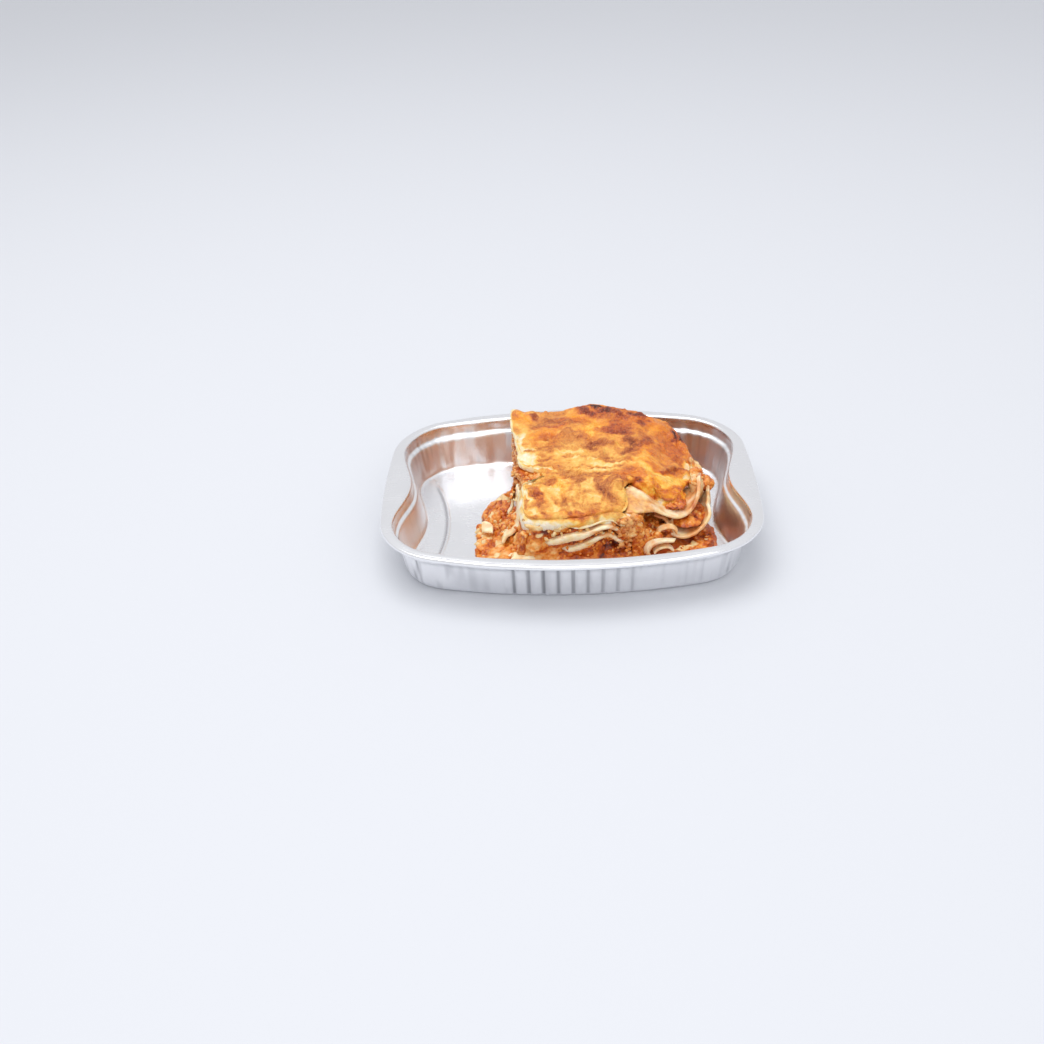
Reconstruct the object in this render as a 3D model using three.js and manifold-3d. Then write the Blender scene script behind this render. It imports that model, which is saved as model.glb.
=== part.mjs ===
// A baked pasta meal, part eaten, in its pinched foil tray. Millimetres, +Z up.
// The origin is the middle of the tray's base. The long side of the tray runs along X, its front towards -Y.
import * as THREE from 'three';
import { mergeVertices } from 'three/addons/utils/BufferGeometryUtils.js';
import Module from 'manifold-3d';

const wasm = await Module();
wasm.setup();

// ---------------------------------------------------------------- driving dimensions
const GAP = 0.35; // clear space kept between touching pieces

// foil tray: rim outline, mouth outline, heights
const RIM = { length: 226, width: 187.5, sideRadius: 281, endRadius: 624, corner: 45.2 };
const MOUTH = { length: 208.6, width: 169.6, sideRadius: 340, endRadius: 2000, corner: 36 };
const TRAY_HEIGHT = 31;
const FOIL = 0.8; // the foil's thickness with its stiffening folds
const PINCH_DEPTH = 7.9; // how far the ends are pinched in
const PINCH_HALF = 44; // half the width of a pinch
const LEDGE_DROP = 8; // from the rim down to the lid ledge
const LEDGE_WIDTH = 2.3;
const WALL_LEAN = 3.4; // how far the wall leans in from ledge to foot
const BEAD_DROP = 3.1; // the rolled bead hangs this far below the rim
const BEAD_WIDTH = 2.3;
const FLUTE_PITCH = 8.5;
const FLUTE_COUNT = 9;
const FLUTE_DEPTH = 1.1;

// the block of layered pasta
const BLOCK_CENTRE = [10, 6];
const BLOCK_HEIGHT = 37; // top of the crust across the middle
const BACK_RISE = 5; // the crust climbs towards the back
const FRONT_FALL = 4.5; // and sags towards the front
const SIDE_FALL = 12; // and slides down on the right
const LOBE_DROOP = 3.2; // and its lobe hangs down at the front right
const CRUST_THICK = 3.2;
const PASTA_THICK = 2; // one cooked sheet, folded loose
const POOL_TOP = 2.9; // level of the thin sauce on the tray floor

// ---------------------------------------------------------------- small helpers
const clamp01 = (t) => Math.min(1, Math.max(0, t));
const ease = (t) => clamp01(t) ** 2 * (3 - 2 * clamp01(t));
const bell = (d, width) => Math.exp(-((d / width) ** 2));
const hill = (x, y, cx, cy, wx, wy) => bell(x - cx, wx) * bell(y - cy, wy);
const vec = (p) => new THREE.Vector3(p[0], p[1], p[2] ?? 0);

// seeded random numbers from 0 to 1
function seeded(seed) {
  let state = seed;
  return () => {
    state = (state * 1664525 + 1013904223) % 4294967296;
    return state / 4294967296;
  };
}

function geometryFrom(points, faces) {
  const geometry = new THREE.BufferGeometry();
  const flat = points.flatMap((p) => [p.x, p.y, p.z]);
  geometry.setAttribute('position', new THREE.Float32BufferAttribute(flat, 3));
  geometry.setIndex(faces);
  geometry.computeVertexNormals();
  return geometry;
}

// Closed skin through a list of rings, from the middle of the underside to the middle of the top side.
// Every ring runs counter-clockwise seen from above and has the same number of points. From the rim on,
// the squares are split along the other diagonal, so an upper face matches an underside of the same shape.
function skinOfRings(rings, firstMiddle, lastMiddle, rim = rings.length) {
  const count = rings[0].length;
  const points = [vec(firstMiddle), ...rings.flat(), vec(lastMiddle)];
  const last = points.length - 1;
  const at = (ring, i) => 1 + ring * count + (i % count);
  const faces = [];
  for (let i = 0; i < count; i++) {
    faces.push(0, at(0, i + 1), at(0, i));
    for (let r = 0; r + 1 < rings.length; r++) {
      const [a, b, c, d] = [at(r, i), at(r, i + 1), at(r + 1, i + 1), at(r + 1, i)];
      if (r < rim) faces.push(a, b, c, a, c, d);
      else faces.push(a, b, d, b, c, d);
    }
    faces.push(last, at(rings.length - 1, i), at(rings.length - 1, i + 1));
  }
  return geometryFrom(points, faces);
}

// ---------------------------------------------------------------- foil tray
// Outline of bowed sides, bowed ends and round corners: distance from the middle at an angle.
function bowedOutline({ length, width, sideRadius, endRadius, corner }) {
  const side = new THREE.Vector2(0, width / 2 - sideRadius);
  const end = new THREE.Vector2(length / 2 - endRadius, 0);
  const toEnd = end.clone().sub(side);
  const apart = toEnd.length();
  const a = sideRadius - corner;
  const b = endRadius - corner;
  const along = (a * a - b * b + apart * apart) / (2 * apart);
  const off = Math.sqrt(a * a - along * along);
  toEnd.normalize();
  const round = side.clone().addScaledVector(toEnd, along);
  round.add(new THREE.Vector2(toEnd.y, -toEnd.x).multiplyScalar(off));
  const meetSide = round.clone().sub(side).setLength(sideRadius).add(side);
  const meetEnd = round.clone().sub(end).setLength(endRadius).add(end);
  const sideAngle = Math.atan2(meetSide.y, meetSide.x);
  const endAngle = Math.atan2(meetEnd.y, meetEnd.x);
  const reach = (middle, radius, dir) => {
    const q = middle.dot(dir);
    return q + Math.sqrt(radius * radius - middle.lengthSq() + q * q);
  };
  return (angle) => {
    const dir = new THREE.Vector2(Math.abs(Math.cos(angle)), Math.abs(Math.sin(angle)));
    const bend = Math.atan2(dir.y, dir.x);
    if (bend < endAngle) return reach(end, endRadius, dir);
    if (bend > sideAngle) return reach(side, sideRadius, dir);
    return reach(round, corner, dir);
  };
}

const rimReach = bowedOutline(RIM);
const mouthReach = bowedOutline(MOUTH);

// a point of the mouth, with the two ends pinched in
function mouthPoint(angle) {
  const r = mouthReach(angle);
  const p = new THREE.Vector2(r * Math.cos(angle), r * Math.sin(angle));
  const inPinch = Math.abs(p.y) < PINCH_HALF && Math.abs(p.x) > PINCH_HALF * 1.2;
  if (inPinch) p.x -= Math.sign(p.x) * PINCH_DEPTH * Math.cos((Math.PI * p.y) / (2 * PINCH_HALF)) ** 2;
  return p;
}

// angles round the tray: four to a flute along the sides, wider round the ends
function trayAngles() {
  const step = FLUTE_PITCH / 4;
  const sideSteps = FLUTE_COUNT * 2 + 2;
  const endSteps = 22;
  const half = [];
  for (let i = -sideSteps; i <= sideSteps; i++) half.push(Math.atan2(-MOUTH.width / 2, i * step));
  const from = half[half.length - 1];
  for (let i = 1; i < endSteps; i++) half.push(from + (i / endSteps) * -2 * from);
  return [...half, ...half.map((angle) => angle + Math.PI)];
}

function foilTray() {
  const angles = trayAngles();
  const nudge = 1e-3;
  const feet = angles.map((angle) => {
    const tangent = mouthPoint(angle + nudge).sub(mouthPoint(angle - nudge)).normalize();
    return { p: mouthPoint(angle), out: new THREE.Vector2(tangent.y, -tangent.x) };
  });
  // grooves between the flutes of the long walls: 1 in a groove, 0 on a flute
  const groove = (x) => {
    if (Math.abs(x) > (FLUTE_COUNT * FLUTE_PITCH) / 2) return 0;
    return (0.5 - 0.5 * Math.cos((2 * Math.PI * (x + FLUTE_PITCH / 2)) / FLUTE_PITCH)) ** 2;
  };
  const wallRing = (inset, z, fluted = 0) =>
    feet.map(({ p, out }) => {
      const onSide = Math.abs(p.y) > PINCH_HALF ? fluted * FLUTE_DEPTH * groove(p.x) : 0;
      const move = -inset - onSide;
      return new THREE.Vector3(p.x + out.x * move, p.y + out.y * move, z);
    });
  const rimRing = (inset, z) =>
    feet.map(({ p }) => {
      const angle = Math.atan2(p.y, p.x);
      const r = rimReach(angle) - inset;
      return new THREE.Vector3(r * Math.cos(angle), r * Math.sin(angle), z);
    });
  const ledge = TRAY_HEIGHT - LEDGE_DROP;
  const foot = LEDGE_WIDTH + 0.6 + WALL_LEAN;
  const rings = [
    wallRing(foot + 2.2, 0),
    wallRing(foot - FOIL, 2.4, 1),
    wallRing(0.6 + LEDGE_WIDTH - FOIL, ledge - 1.4, 1),
    wallRing(0.6 - FOIL, ledge - FOIL),
    wallRing(-FOIL, TRAY_HEIGHT - FOIL),
    rimRing(BEAD_WIDTH, TRAY_HEIGHT - FOIL),
    rimRing(BEAD_WIDTH - 0.3, TRAY_HEIGHT - BEAD_DROP + 0.2),
    rimRing(0.4, TRAY_HEIGHT - BEAD_DROP + 0.3),
    rimRing(0, TRAY_HEIGHT - BEAD_DROP / 2),
    rimRing(0.8, TRAY_HEIGHT - 0.1),
    rimRing(BEAD_WIDTH, TRAY_HEIGHT - 0.4),
    rimRing(BEAD_WIDTH + 0.7, TRAY_HEIGHT),
    wallRing(-0.3, TRAY_HEIGHT),
    wallRing(0.6, ledge),
    wallRing(0.6 + LEDGE_WIDTH, ledge - 0.5, 1),
    wallRing(foot, 3, 1),
    wallRing(foot + 0.9, 1.2),
    wallRing(foot + 2.8, FOIL),
  ];
  return skinOfRings(rings, [0, 0, 0], [0, 0, FOIL]);
}

// ---------------------------------------------------------------- layers of the block
// Closed smooth outline through a few points, as distance from a centre at an angle.
function foodOutline(points, [cx, cy] = BLOCK_CENTRE) {
  const curve = new THREE.CatmullRomCurve3(points.map(vec), true, 'centripetal');
  const samples = curve.getPoints(600).slice(0, -1).map((p) => {
    const angle = Math.atan2(p.y - cy, p.x - cx);
    return [angle, Math.hypot(p.x - cx, p.y - cy)];
  });
  samples.sort((p, q) => p[0] - q[0]);
  return (angle) => {
    const turn = Math.atan2(Math.sin(angle), Math.cos(angle));
    const next = samples.findIndex(([a]) => a > turn);
    const hi = next < 0 ? 0 : next;
    const lo = (hi + samples.length - 1) % samples.length;
    const span = samples[hi][0] - samples[lo][0] + (next <= 0 ? 2 * Math.PI : 0);
    const from = turn - samples[lo][0] + (next === 0 ? 2 * Math.PI : 0);
    return THREE.MathUtils.lerp(samples[lo][1], samples[hi][1], clamp01(from / span));
  };
}

// angles round a layer; crowding packs them towards the front, which shows most
const spokes = (count, crowding = 0) =>
  Array.from({ length: count }, (_, i) => {
    const even = (i / count) * 2 * Math.PI;
    return even - crowding * Math.cos(even);
  });

// A layer between two height functions over an outline, as a fan of rings round a centre.
// stand(angle) moves its edge out along the slope of the last ring, so that two layers which share a
// height function keep their gap. bulge(angle) pushes out the middle of the edge, and undercut(angle)
// sets its upper corner back and down.
function layer({
  reach, low, high, angles, lowShares = [0.45, 0.82], highShares = lowShares,
  stand = () => 0, bulge = () => 0, undercut = () => 0, centre = BLOCK_CENTRE,
}) {
  const place = (angle, r, height) => {
    const x = centre[0] + r * Math.cos(angle);
    const y = centre[1] + r * Math.sin(angle);
    return new THREE.Vector3(x, y, height(x, y));
  };
  const ring = (share, height) => angles.map((angle) => place(angle, reach(angle) * share, height));
  const edge = (height, shares, setBack) =>
    angles.map((angle) => {
      const inner = place(angle, reach(angle) * shares.at(-1), height);
      const outer = place(angle, reach(angle), height);
      const width = reach(angle) * (1 - shares.at(-1));
      const point = inner.lerp(outer, 1 + (stand(angle) - setBack(angle)) / width);
      point.z -= 0.15 * setBack(angle);
      return point;
    });
  const lowEdge = edge(low, lowShares, () => 0);
  const highEdge = edge(high, highShares, undercut);
  const edgeMiddle = angles.map((angle, i) => {
    const middle = lowEdge[i].clone().lerp(highEdge[i], 0.5);
    const out = new THREE.Vector3(Math.cos(angle), Math.sin(angle), 0);
    return middle.addScaledVector(out, bulge(angle));
  });
  const under = lowShares.map((share) => ring(share, low));
  const over = highShares.map((share) => ring(share, high)).reverse();
  const rings = [...under, lowEdge, edgeMiddle, highEdge, ...over];
  const rim = under.length + 1;
  return skinOfRings(rings, [...centre, low(...centre)], [...centre, high(...centre)], rim);
}

// smooth top of the crust; its front right lobe droops into the fold of the sheet below
function crustLevel(x, y) {
  const back = BACK_RISE * ease((y + 5) / 75);
  const front = FRONT_FALL * ease((-8 - y) / 44);
  const side = SIDE_FALL * ease((x - 42) / 33);
  const arch = 1.2 * bell(x - 20, 14) * ease((8 - y) / 45);
  const droop = LOBE_DROOP * bell(x - 55.5, 6) * ease((-4 - y) / 12);
  return BLOCK_HEIGHT + back - front - side - droop + arch;
}

// crags of the browned crust: the burnt back edge and the sag beside it, the turned-up back corners, humps, a
// torn lip, folds, a loose cheese crumb, and the thin edge where the front slab runs out over the fold
function crustRelief(x, y) {
  const burntEdge = 3.4 * hill(x, y, 16, 70, 12, 6) + hill(x, y, 31, 67, 7, 6);
  const sag = 1.8 * hill(x, y, -14, 73, 13, 8);
  const corner = 1.4 * hill(x, y, -35, 70, 5, 5) - 1.6 * hill(x, y, -28, 71, 3, 5);
  const backRight = 4 * hill(x, y, 63, 57, 8, 8);
  const humps = 1.3 * hill(x, y, -4, 50, 14, 11) + 1.1 * hill(x, y, 4, -18, 22, 7);
  const crumb = 1.8 * hill(x, y, 25, 30, 4.5, 3);
  const lip = 2.6 * hill(x, y, 65, 11, 8, 3.5) - 1.6 * hill(x, y, 62, 1, 8, 5);
  const creases = 1.5 * hill(x, y, 22, 18, 22, 3.5) + 1.6 * hill(x, y, -9, 0, 11, 3);
  const tornFlap = 1.8 * hill(x, y, 27, -11, 6, 4);
  const thinEdge = 1.4 * ease((x - 26) / 7) * ease((-10 - y) / 8);
  const ripple = 0.35 * Math.sin(x / 3.1 + y / 7) * Math.cos(y / 4.3 - x / 9);
  const edges = burntEdge - sag + corner + backRight + lip + tornFlap - thinEdge;
  return edges + humps + crumb - creases + ripple;
}

// top of the block, hollowed under the sheet that drapes over its front right corner
function lid(x, y) {
  const drape = 4 * ease((x - 22) / 8) * ease((4 - y) / 14);
  const steep = 2 * ease((x - 33) / 8) * ease((8 - y) / 14);
  const slope = 1.4 * ease((x - 34) / 8);
  return crustLevel(x, y) - CRUST_THICK - 2 * GAP - drape - steep - slope;
}

const BLOCK_OUTLINE = [
  [-27, -40], [-22, -45.5], [-10, -46], [5, -45], [20, -43], [32, -41.5], [39, -38.5], [41.5, -30],
  [41, -16], [40, -4], [42, 12], [50, 22], [64, 30], [70, 42], [66.5, 53], [56, 60], [35, 66],
  [5, 69.5], [-20, 70], [-34, 69], [-36, 50], [-33.5, 25], [-30, 5], [-27.5, -12], [-27, -28],
];

// From the bottom up. A meat sauce layer has its top at a share of the block's height, with a dip and an
// arch near the front face; a pasta sheet has its thickness. stand is how far the front edge stands out
// from the outline, crag how lumpy the edge is, recess how far its upper corner is set back in the front,
// clump how far a lump stands out on the left face.
const LAYERS = [
  { name: 'ragu_layer_1', share: 0.4, dip: 2.4, arch: 6.2, stand: 3, crag: 1.1, recess: 7 },
  { name: 'pasta_sheet_1', thick: 1.8, stand: 2.6 },
  { name: 'ragu_layer_2', share: 0.665, dip: 3.8, arch: 4, stand: 0.4, crag: 1.2 },
  { name: 'pasta_sheet_2', thick: 1.9, stand: 2.4 },
  { name: 'ragu_layer_3', share: 0.86, dip: 1.5, arch: 1.8, stand: 0, crag: 0.9, clump: 3.6 },
  { name: 'pasta_sheet_3', thick: 1.7, stand: 1 },
  { name: 'ragu_layer_4', share: 1, dip: 0, arch: 0, stand: 0.4, crag: 0.6, clump: 4 },
];
const DIP_AT = -16;
const ARCH_AT = 20;

function blockLayers() {
  const reach = foodOutline(BLOCK_OUTLINE);
  const angles = spokes(36, 0.4);
  const towardsFront = (angle) => Math.max(0, -Math.sin(angle)) ** 3;
  const turnFrom = (angle, degrees) => {
    const apart = angle - THREE.MathUtils.degToRad(degrees);
    return Math.atan2(Math.sin(apart), Math.cos(apart));
  };
  const nearFront = (y) => ease((8 - y) / 45);
  let low = () => POOL_TOP + GAP;
  return LAYERS.map(({ name, share, dip, arch, thick, stand, crag = 0, recess = 0, clump = 0 }, i) => {
    const under = low;
    const wave = (x) => arch * bell(x - ARCH_AT, 9.5) - dip * bell(x - DIP_AT, 13);
    const top = thick
      ? (x, y) => under(x, y) + thick
      : (x, y) => lid(x, y) * share + nearFront(y) * wave(x);
    low = (x, y) => top(x, y) + GAP;
    const roughness = (angle) => 0.5 * Math.sin(angle * 23 + i) + 0.5 * Math.cos(angle * 9 - i);
    const lump = (angle) => clump * bell(turnFrom(angle, 177), 0.12);
    const geometry = layer({
      reach, angles, low: under, high: top,
      stand: (angle) => stand * towardsFront(angle) - 0.4 + lump(angle),
      bulge: (angle) => crag * (0.8 + roughness(angle)),
      undercut: (angle) => recess * bell(turnFrom(angle, -74), 0.16),
    });
    return [name, geometry];
  });
}

const CRUST_OUTLINE = [
  [-27.5, -37], [-24, -43.5], [-10, -44.5], [5, -43.5], [18, -41.5], [27, -40], [32, -36], [33.5, -26],
  [32.5, -16], [34.5, -11], [44, -11.5], [53, -16], [61, -16.5], [66.5, -9], [70, 0], [74.4, 8],
  [78, 16], [78.4, 26], [77, 35], [73.8, 47], [69, 57], [61, 64], [48, 66], [33, 69], [16, 71.5], [2, 71],
  [-20, 72], [-35.5, 72], [-36.5, 62], [-34.5, 45], [-31.5, 25], [-30, 12], [-25, 6], [-18, 2], [-16, -4],
  [-20, -8.5], [-27.5, -12], [-28, -24],
];

function cheeseTop() {
  return layer({
    reach: foodOutline(CRUST_OUTLINE),
    low: (x, y) => crustLevel(x, y) - CRUST_THICK,
    high: (x, y) => crustLevel(x, y) + crustRelief(x, y),
    angles: spokes(60, 0.15),
    lowShares: [0.45, 0.86],
    highShares: [0.2, 0.4, 0.57, 0.72, 0.85, 0.95],
    bulge: (angle) => 0.5 + 0.5 * Math.sin(angle * 23),
  });
}

// ---------------------------------------------------------------- draped and curled sheets
// A strip of pasta between two edges, each a smooth curve through a few points.
function strip({ near, far, thick = PASTA_THICK, along = 18, across = 3 }) {
  const nearCurve = new THREE.CatmullRomCurve3(near.map(vec));
  const farCurve = new THREE.CatmullRomCurve3(far.map(vec));
  const middle = (i, j) => {
    const t = clamp01(i / along);
    return nearCurve.getPoint(t).lerp(farCurve.getPoint(t), j / across);
  };
  const grid = [];
  for (let i = 0; i <= along; i++) {
    for (let j = 0; j <= across; j++) {
      const alongways = middle(Math.min(i + 1, along), j).sub(middle(Math.max(i - 1, 0), j));
      const sideways = middle(i, Math.min(j + 1, across)).sub(middle(i, Math.max(j - 1, 0)));
      grid.push({ point: middle(i, j), normal: alongways.cross(sideways).normalize() });
    }
  }
  const upper = grid.map(({ point, normal }) => point.clone().addScaledVector(normal, thick / 2));
  const lower = grid.map(({ point, normal }) => point.clone().addScaledVector(normal, -thick / 2));
  const wide = across + 1;
  const count = grid.length;
  const faces = [];
  const quad = (a, b, c, d) => faces.push(a, b, c, a, c, d);
  for (let i = 0; i < along; i++) {
    for (let j = 0; j < across; j++) {
      const a = i * wide + j;
      quad(a, a + wide, a + wide + 1, a + 1);
      quad(count + a, count + a + 1, count + a + wide + 1, count + a + wide);
    }
    const first = i * wide;
    const end = first + across;
    quad(first, count + first, count + first + wide, first + wide);
    quad(end + wide, count + end + wide, count + end, end);
  }
  for (let j = 0; j < across; j++) {
    const tail = along * wide + j;
    quad(j + 1, count + j + 1, count + j, j);
    quad(tail, count + tail, count + tail + 1, tail + 1);
  }
  return geometryFrom([...upper, ...lower], faces);
}

const shifted = (points, dx, dy, dz) => points.map(([x, y, z]) => [x + dx, y + dy, z + dz]);

const CURL_NEAR = [
  [46.2, -47, 4.3], [45, -46.6, 7.4], [46.4, -46.2, 10.8], [50, -46, 13.4], [54.6, -46, 14.6],
  [60, -46, 14.6],
];
const CURL_FAR = [
  [43.6, -40.8, 4.2], [42.6, -40.8, 6.2], [43, -40.6, 9], [45.4, -40.5, 11.2], [51, -40.5, 12.8],
  [61.4, -40.5, 13],
];
const CURL_LINER = [
  [48.6, -46.8, 6.4], [50.4, -46.4, 8.6], [53.6, -46, 10], [57, -46, 10], [59.8, -46.2, 7.8],
];
const SCRAP_OVER_CURL = [
  [50.4, -36.4, 13.4], [52, -36, 15.2], [55, -36, 16.8], [58.6, -36, 17], [61.2, -36, 15], [62.2, -36, 12.6],
];
const STRAND = [[-34.4, -5.5, 22.8], [-34.8, -8.5, 20.4], [-35.8, -11.5, 17.8], [-37.8, -13, 15.6]];
const SCRAP_UNDER_FOLD = [
  [49.6, -24, 18.6], [52, -24.5, 17.8], [54.3, -25, 17.4], [56.2, -26, 16.4], [57.6, -27, 14.6],
  [58.8, -28, 13.6], [60.8, -28, 15.4],
];

function drapedSheets() {
  return {
    pasta_fold_upper: strip({
      near: [[32, -37, 29.2], [38, -37, 29], [44, -33.5, 27.4], [49.6, -29, 24.6], [56, -28, 21],
        [63.4, -28.2, 19.2], [70.6, -23.4, 20], [75.7, -16.4, 24.4], [77.8, -9, 28], [78, 1, 30.6]],
      far: [[33, -12, 31.8], [38, -9.6, 30.9], [44, -7, 28.4], [50, -1, 23.4], [56.5, 7, 19.6],
        [64, 8.6, 17.6], [71, 8, 17.6], [77, 6.5, 20.6], [79.4, 6.5, 25.6], [79.8, 6.5, 30]],
      along: 22,
    }),
    pasta_fold_lower: strip({
      near: [[56, -31, 12], [61, -32.3, 9.6], [66.2, -33.2, 8.6], [71.7, -32, 9], [77.9, -28.5, 11.5],
        [82.5, -22.5, 15], [83, -17.1, 19], [81.4, -11.4, 22.6]],
      far: [[55, 6, 9.6], [61, 8, 6.8], [67, 9, 5.8], [73, 9, 6.8], [79, 9, 9.8],
        [84, 9, 14.4], [85.4, 8, 18.6], [84.6, 7, 22.4]],
      along: 18, across: 2,
    }),
    pasta_curl_front: strip({ near: CURL_NEAR, far: CURL_FAR, along: 16, across: 2 }),
    pasta_curl_liner: strip({
      near: CURL_LINER, far: shifted(CURL_LINER, -0.8, 5, -0.6), thick: 1.7, along: 10, across: 1,
    }),
    pasta_scrap_over_curl: strip({
      near: SCRAP_OVER_CURL, far: shifted(SCRAP_OVER_CURL, 0.2, 4.6, 0.4), thick: 1.5, along: 10, across: 1,
    }),
    pasta_scrap_under_fold: strip({
      near: SCRAP_UNDER_FOLD, far: shifted(SCRAP_UNDER_FOLD, 0.2, 4.5, 0.8), thick: 1.5, along: 12, across: 1,
    }),
    pasta_sheet_left: strip({
      near: [[-29.4, -16, 31], [-29.8, -22, 27.5], [-30.1, -27.7, 22.5], [-31.1, -32, 18.6],
        [-34.8, -34, 15.6], [-38.8, -34.6, 13], [-40.6, -36.2, 9.8]],
      far: [[-31.6, -1, 30], [-31.9, -5, 26.5], [-32.1, -10, 22], [-32.9, -14, 18.4],
        [-36.2, -16, 15.2], [-39.6, -17, 12.6], [-41.6, -18, 9.8]],
      thick: 1.8, along: 14, across: 2,
    }),
    pasta_strand_left: strip({
      near: STRAND, far: shifted(STRAND, -0.4, 4.2, -0.4), thick: 1.6, along: 8, across: 1,
    }),
    pasta_lump_left: strip({
      near: [[-54.2, -12.6, 10.2], [-51.6, -13.4, 11.4], [-48.8, -15, 11], [-46.8, -17.4, 9.8]],
      far: [[-54, -19, 7.4], [-51.8, -20.6, 7.8], [-49, -21.6, 8], [-47, -22, 8]],
      thick: 2.2, along: 7, across: 2,
    }),
  };
}

// ---------------------------------------------------------------- meat sauce outside the block
const POOL_OUTLINE = [
  [-29, -56], [-8, -63], [22, -63], [50, -61], [72, -54], [84, -40], [87.5, -24], [85, -5], [84, 14],
  [79, 30], [75, 46], [64, 60], [40, 68], [5, 71], [-20, 71], [-34, 69], [-35, 45], [-32, 20], [-30, -10],
];

function saucePool() {
  const surface = (x, y) => POOL_TOP - 0.5 * ease((Math.hypot(x - 20, (y - 5) * 1.1) - 50) / 30);
  return layer({
    reach: foodOutline(POOL_OUTLINE), angles: spokes(36), lowShares: [0.75],
    low: () => FOIL + GAP,
    high: surface,
  });
}

// A pad of meat sauce caught in a fold: thick in the middle, thin at its edge, lumpy on top.
function raguPad({ outline, centre, level, sink, rise }) {
  const reach = foodOutline(outline, centre);
  const swell = (x, y) => {
    const [dx, dy] = [x - centre[0], y - centre[1]];
    const share = Math.hypot(dx, dy) / reach(Math.atan2(dy, dx));
    return 1 - Math.min(1, share) ** 2;
  };
  const lumps = (x, y) => 0.5 * Math.sin(x * 1.3) * Math.cos(y * 1.1) * swell(x, y);
  return layer({
    reach, centre, angles: spokes(16),
    low: (x, y) => level - 0.3 - sink * swell(x, y),
    high: (x, y) => level + 0.3 + rise * swell(x, y) + lumps(x, y),
  });
}

function foldFillings() {
  return {
    ragu_in_lower_fold: raguPad({
      outline: [[62, -20], [69, -26], [76, -20], [78.5, -8], [76.5, 2], [66, 4], [57, 0], [57, -12]],
      centre: [67.5, -11], level: 13.8, sink: 3, rise: 2.8,
    }),
    ragu_in_upper_fold: raguPad({
      outline: [[57, -18], [62, -22.5], [67, -20.5], [69, -15], [68.5, -7], [65, 0], [60, 1], [56, -6]],
      centre: [62, -11], level: 22.3, sink: 1.4, rise: 1.5,
    }),
  };
}

// browned lump of meat sauce squeezed out at the right
function raguLumpRight() {
  const centre = [84, 13.8];
  const radius = 5.2;
  const waist = 18.2;
  const dome = (x, y) => {
    const share = Math.hypot(x - centre[0], y - centre[1]) / radius;
    return Math.sqrt(Math.max(0, 1 - share ** 2));
  };
  return layer({
    reach: () => radius, centre, angles: spokes(12),
    low: (x, y) => waist - 0.2 - 3 * dome(x, y),
    high: (x, y) => waist + 0.2 + 5.4 * dome(x, y),
  });
}

const SPILL_CENTRE = [-45, -12];
const SPILL_OUTLINE = [
  [-55.5, -40], [-49, -48], [-38, -50], [-33.5, -46], [-33, -32], [-34.6, -14], [-36.2, 0], [-36.5, 10],
  [-38, 20], [-43, 21.5], [-48.5, 18], [-53, 9], [-54.8, -4], [-55.4, -20],
];

// height of the spilt heap: banked against the block at the back, lower at the front under the hanging sheet
function spillLevel(x, y) {
  const bank = ease((x + 58) / 13) * (8 + 6 * ease((x + 49) / 12));
  const lowFront = 1 - 0.5 * ease((-4 - y) / 16);
  const lowBack = 1 - 0.5 * ease((y - 12) / 10);
  return 1.4 + bank * lowFront * lowBack;
}

// a grain of mince: a low-sided lump, squeezed and turned
function grain(x, y, z, size, random) {
  const lump = new THREE.IcosahedronGeometry(size, 0);
  lump.deleteAttribute('normal');
  lump.deleteAttribute('uv');
  lump.scale(1, 0.7 + 0.5 * random(), 0.65 + 0.3 * random());
  lump.rotateZ(random() * Math.PI);
  lump.rotateX(random() * 0.8);
  lump.translate(x, y, z);
  return lump;
}

function toSolid(geometry) {
  const bare = geometry.clone();
  bare.deleteAttribute('normal');
  bare.deleteAttribute('uv');
  const merged = mergeVertices(bare, 1e-4);
  const triVerts = new Uint32Array(merged.index.array);
  const vertProperties = new Float32Array(merged.attributes.position.array);
  return new wasm.Manifold(new wasm.Mesh({ numProp: 3, vertProperties, triVerts }));
}

function fromSolid(solid) {
  const { vertProperties, triVerts } = solid.getMesh();
  const geometry = new THREE.BufferGeometry();
  geometry.setAttribute('position', new THREE.Float32BufferAttribute(vertProperties, 3));
  geometry.setIndex(Array.from(triVerts));
  geometry.computeVertexNormals();
  return geometry;
}

// A heap of meat sauce: a core up to a height function, with grains of mince fused on where free(x, y).
function raguHeap({ outline, centre, base, height, grains, free, seed }) {
  const reach = foodOutline(outline, centre);
  const core = layer({
    reach, centre, low: () => base, high: height, angles: spokes(24), lowShares: [0.6],
    highShares: [0.3, 0.55, 0.8],
  });
  let heap = toSolid(core);
  const random = seeded(seed);
  const goldenTurn = Math.PI * (3 - Math.sqrt(5));
  for (let i = 0; i < grains; i++) {
    const angle = i * goldenTurn;
    const r = 0.94 * reach(angle) * Math.sqrt((i + 0.5) / grains);
    const x = centre[0] + r * Math.cos(angle);
    const y = centre[1] + r * Math.sin(angle);
    const size = 1.7 + 0.9 * random();
    const z = Math.max(height(x, y) + 0.2, base + 1.1 * size);
    if (free(x, y)) heap = heap.add(toSolid(grain(x, y, z, size, random)));
  }
  return fromSolid(heap);
}

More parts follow.
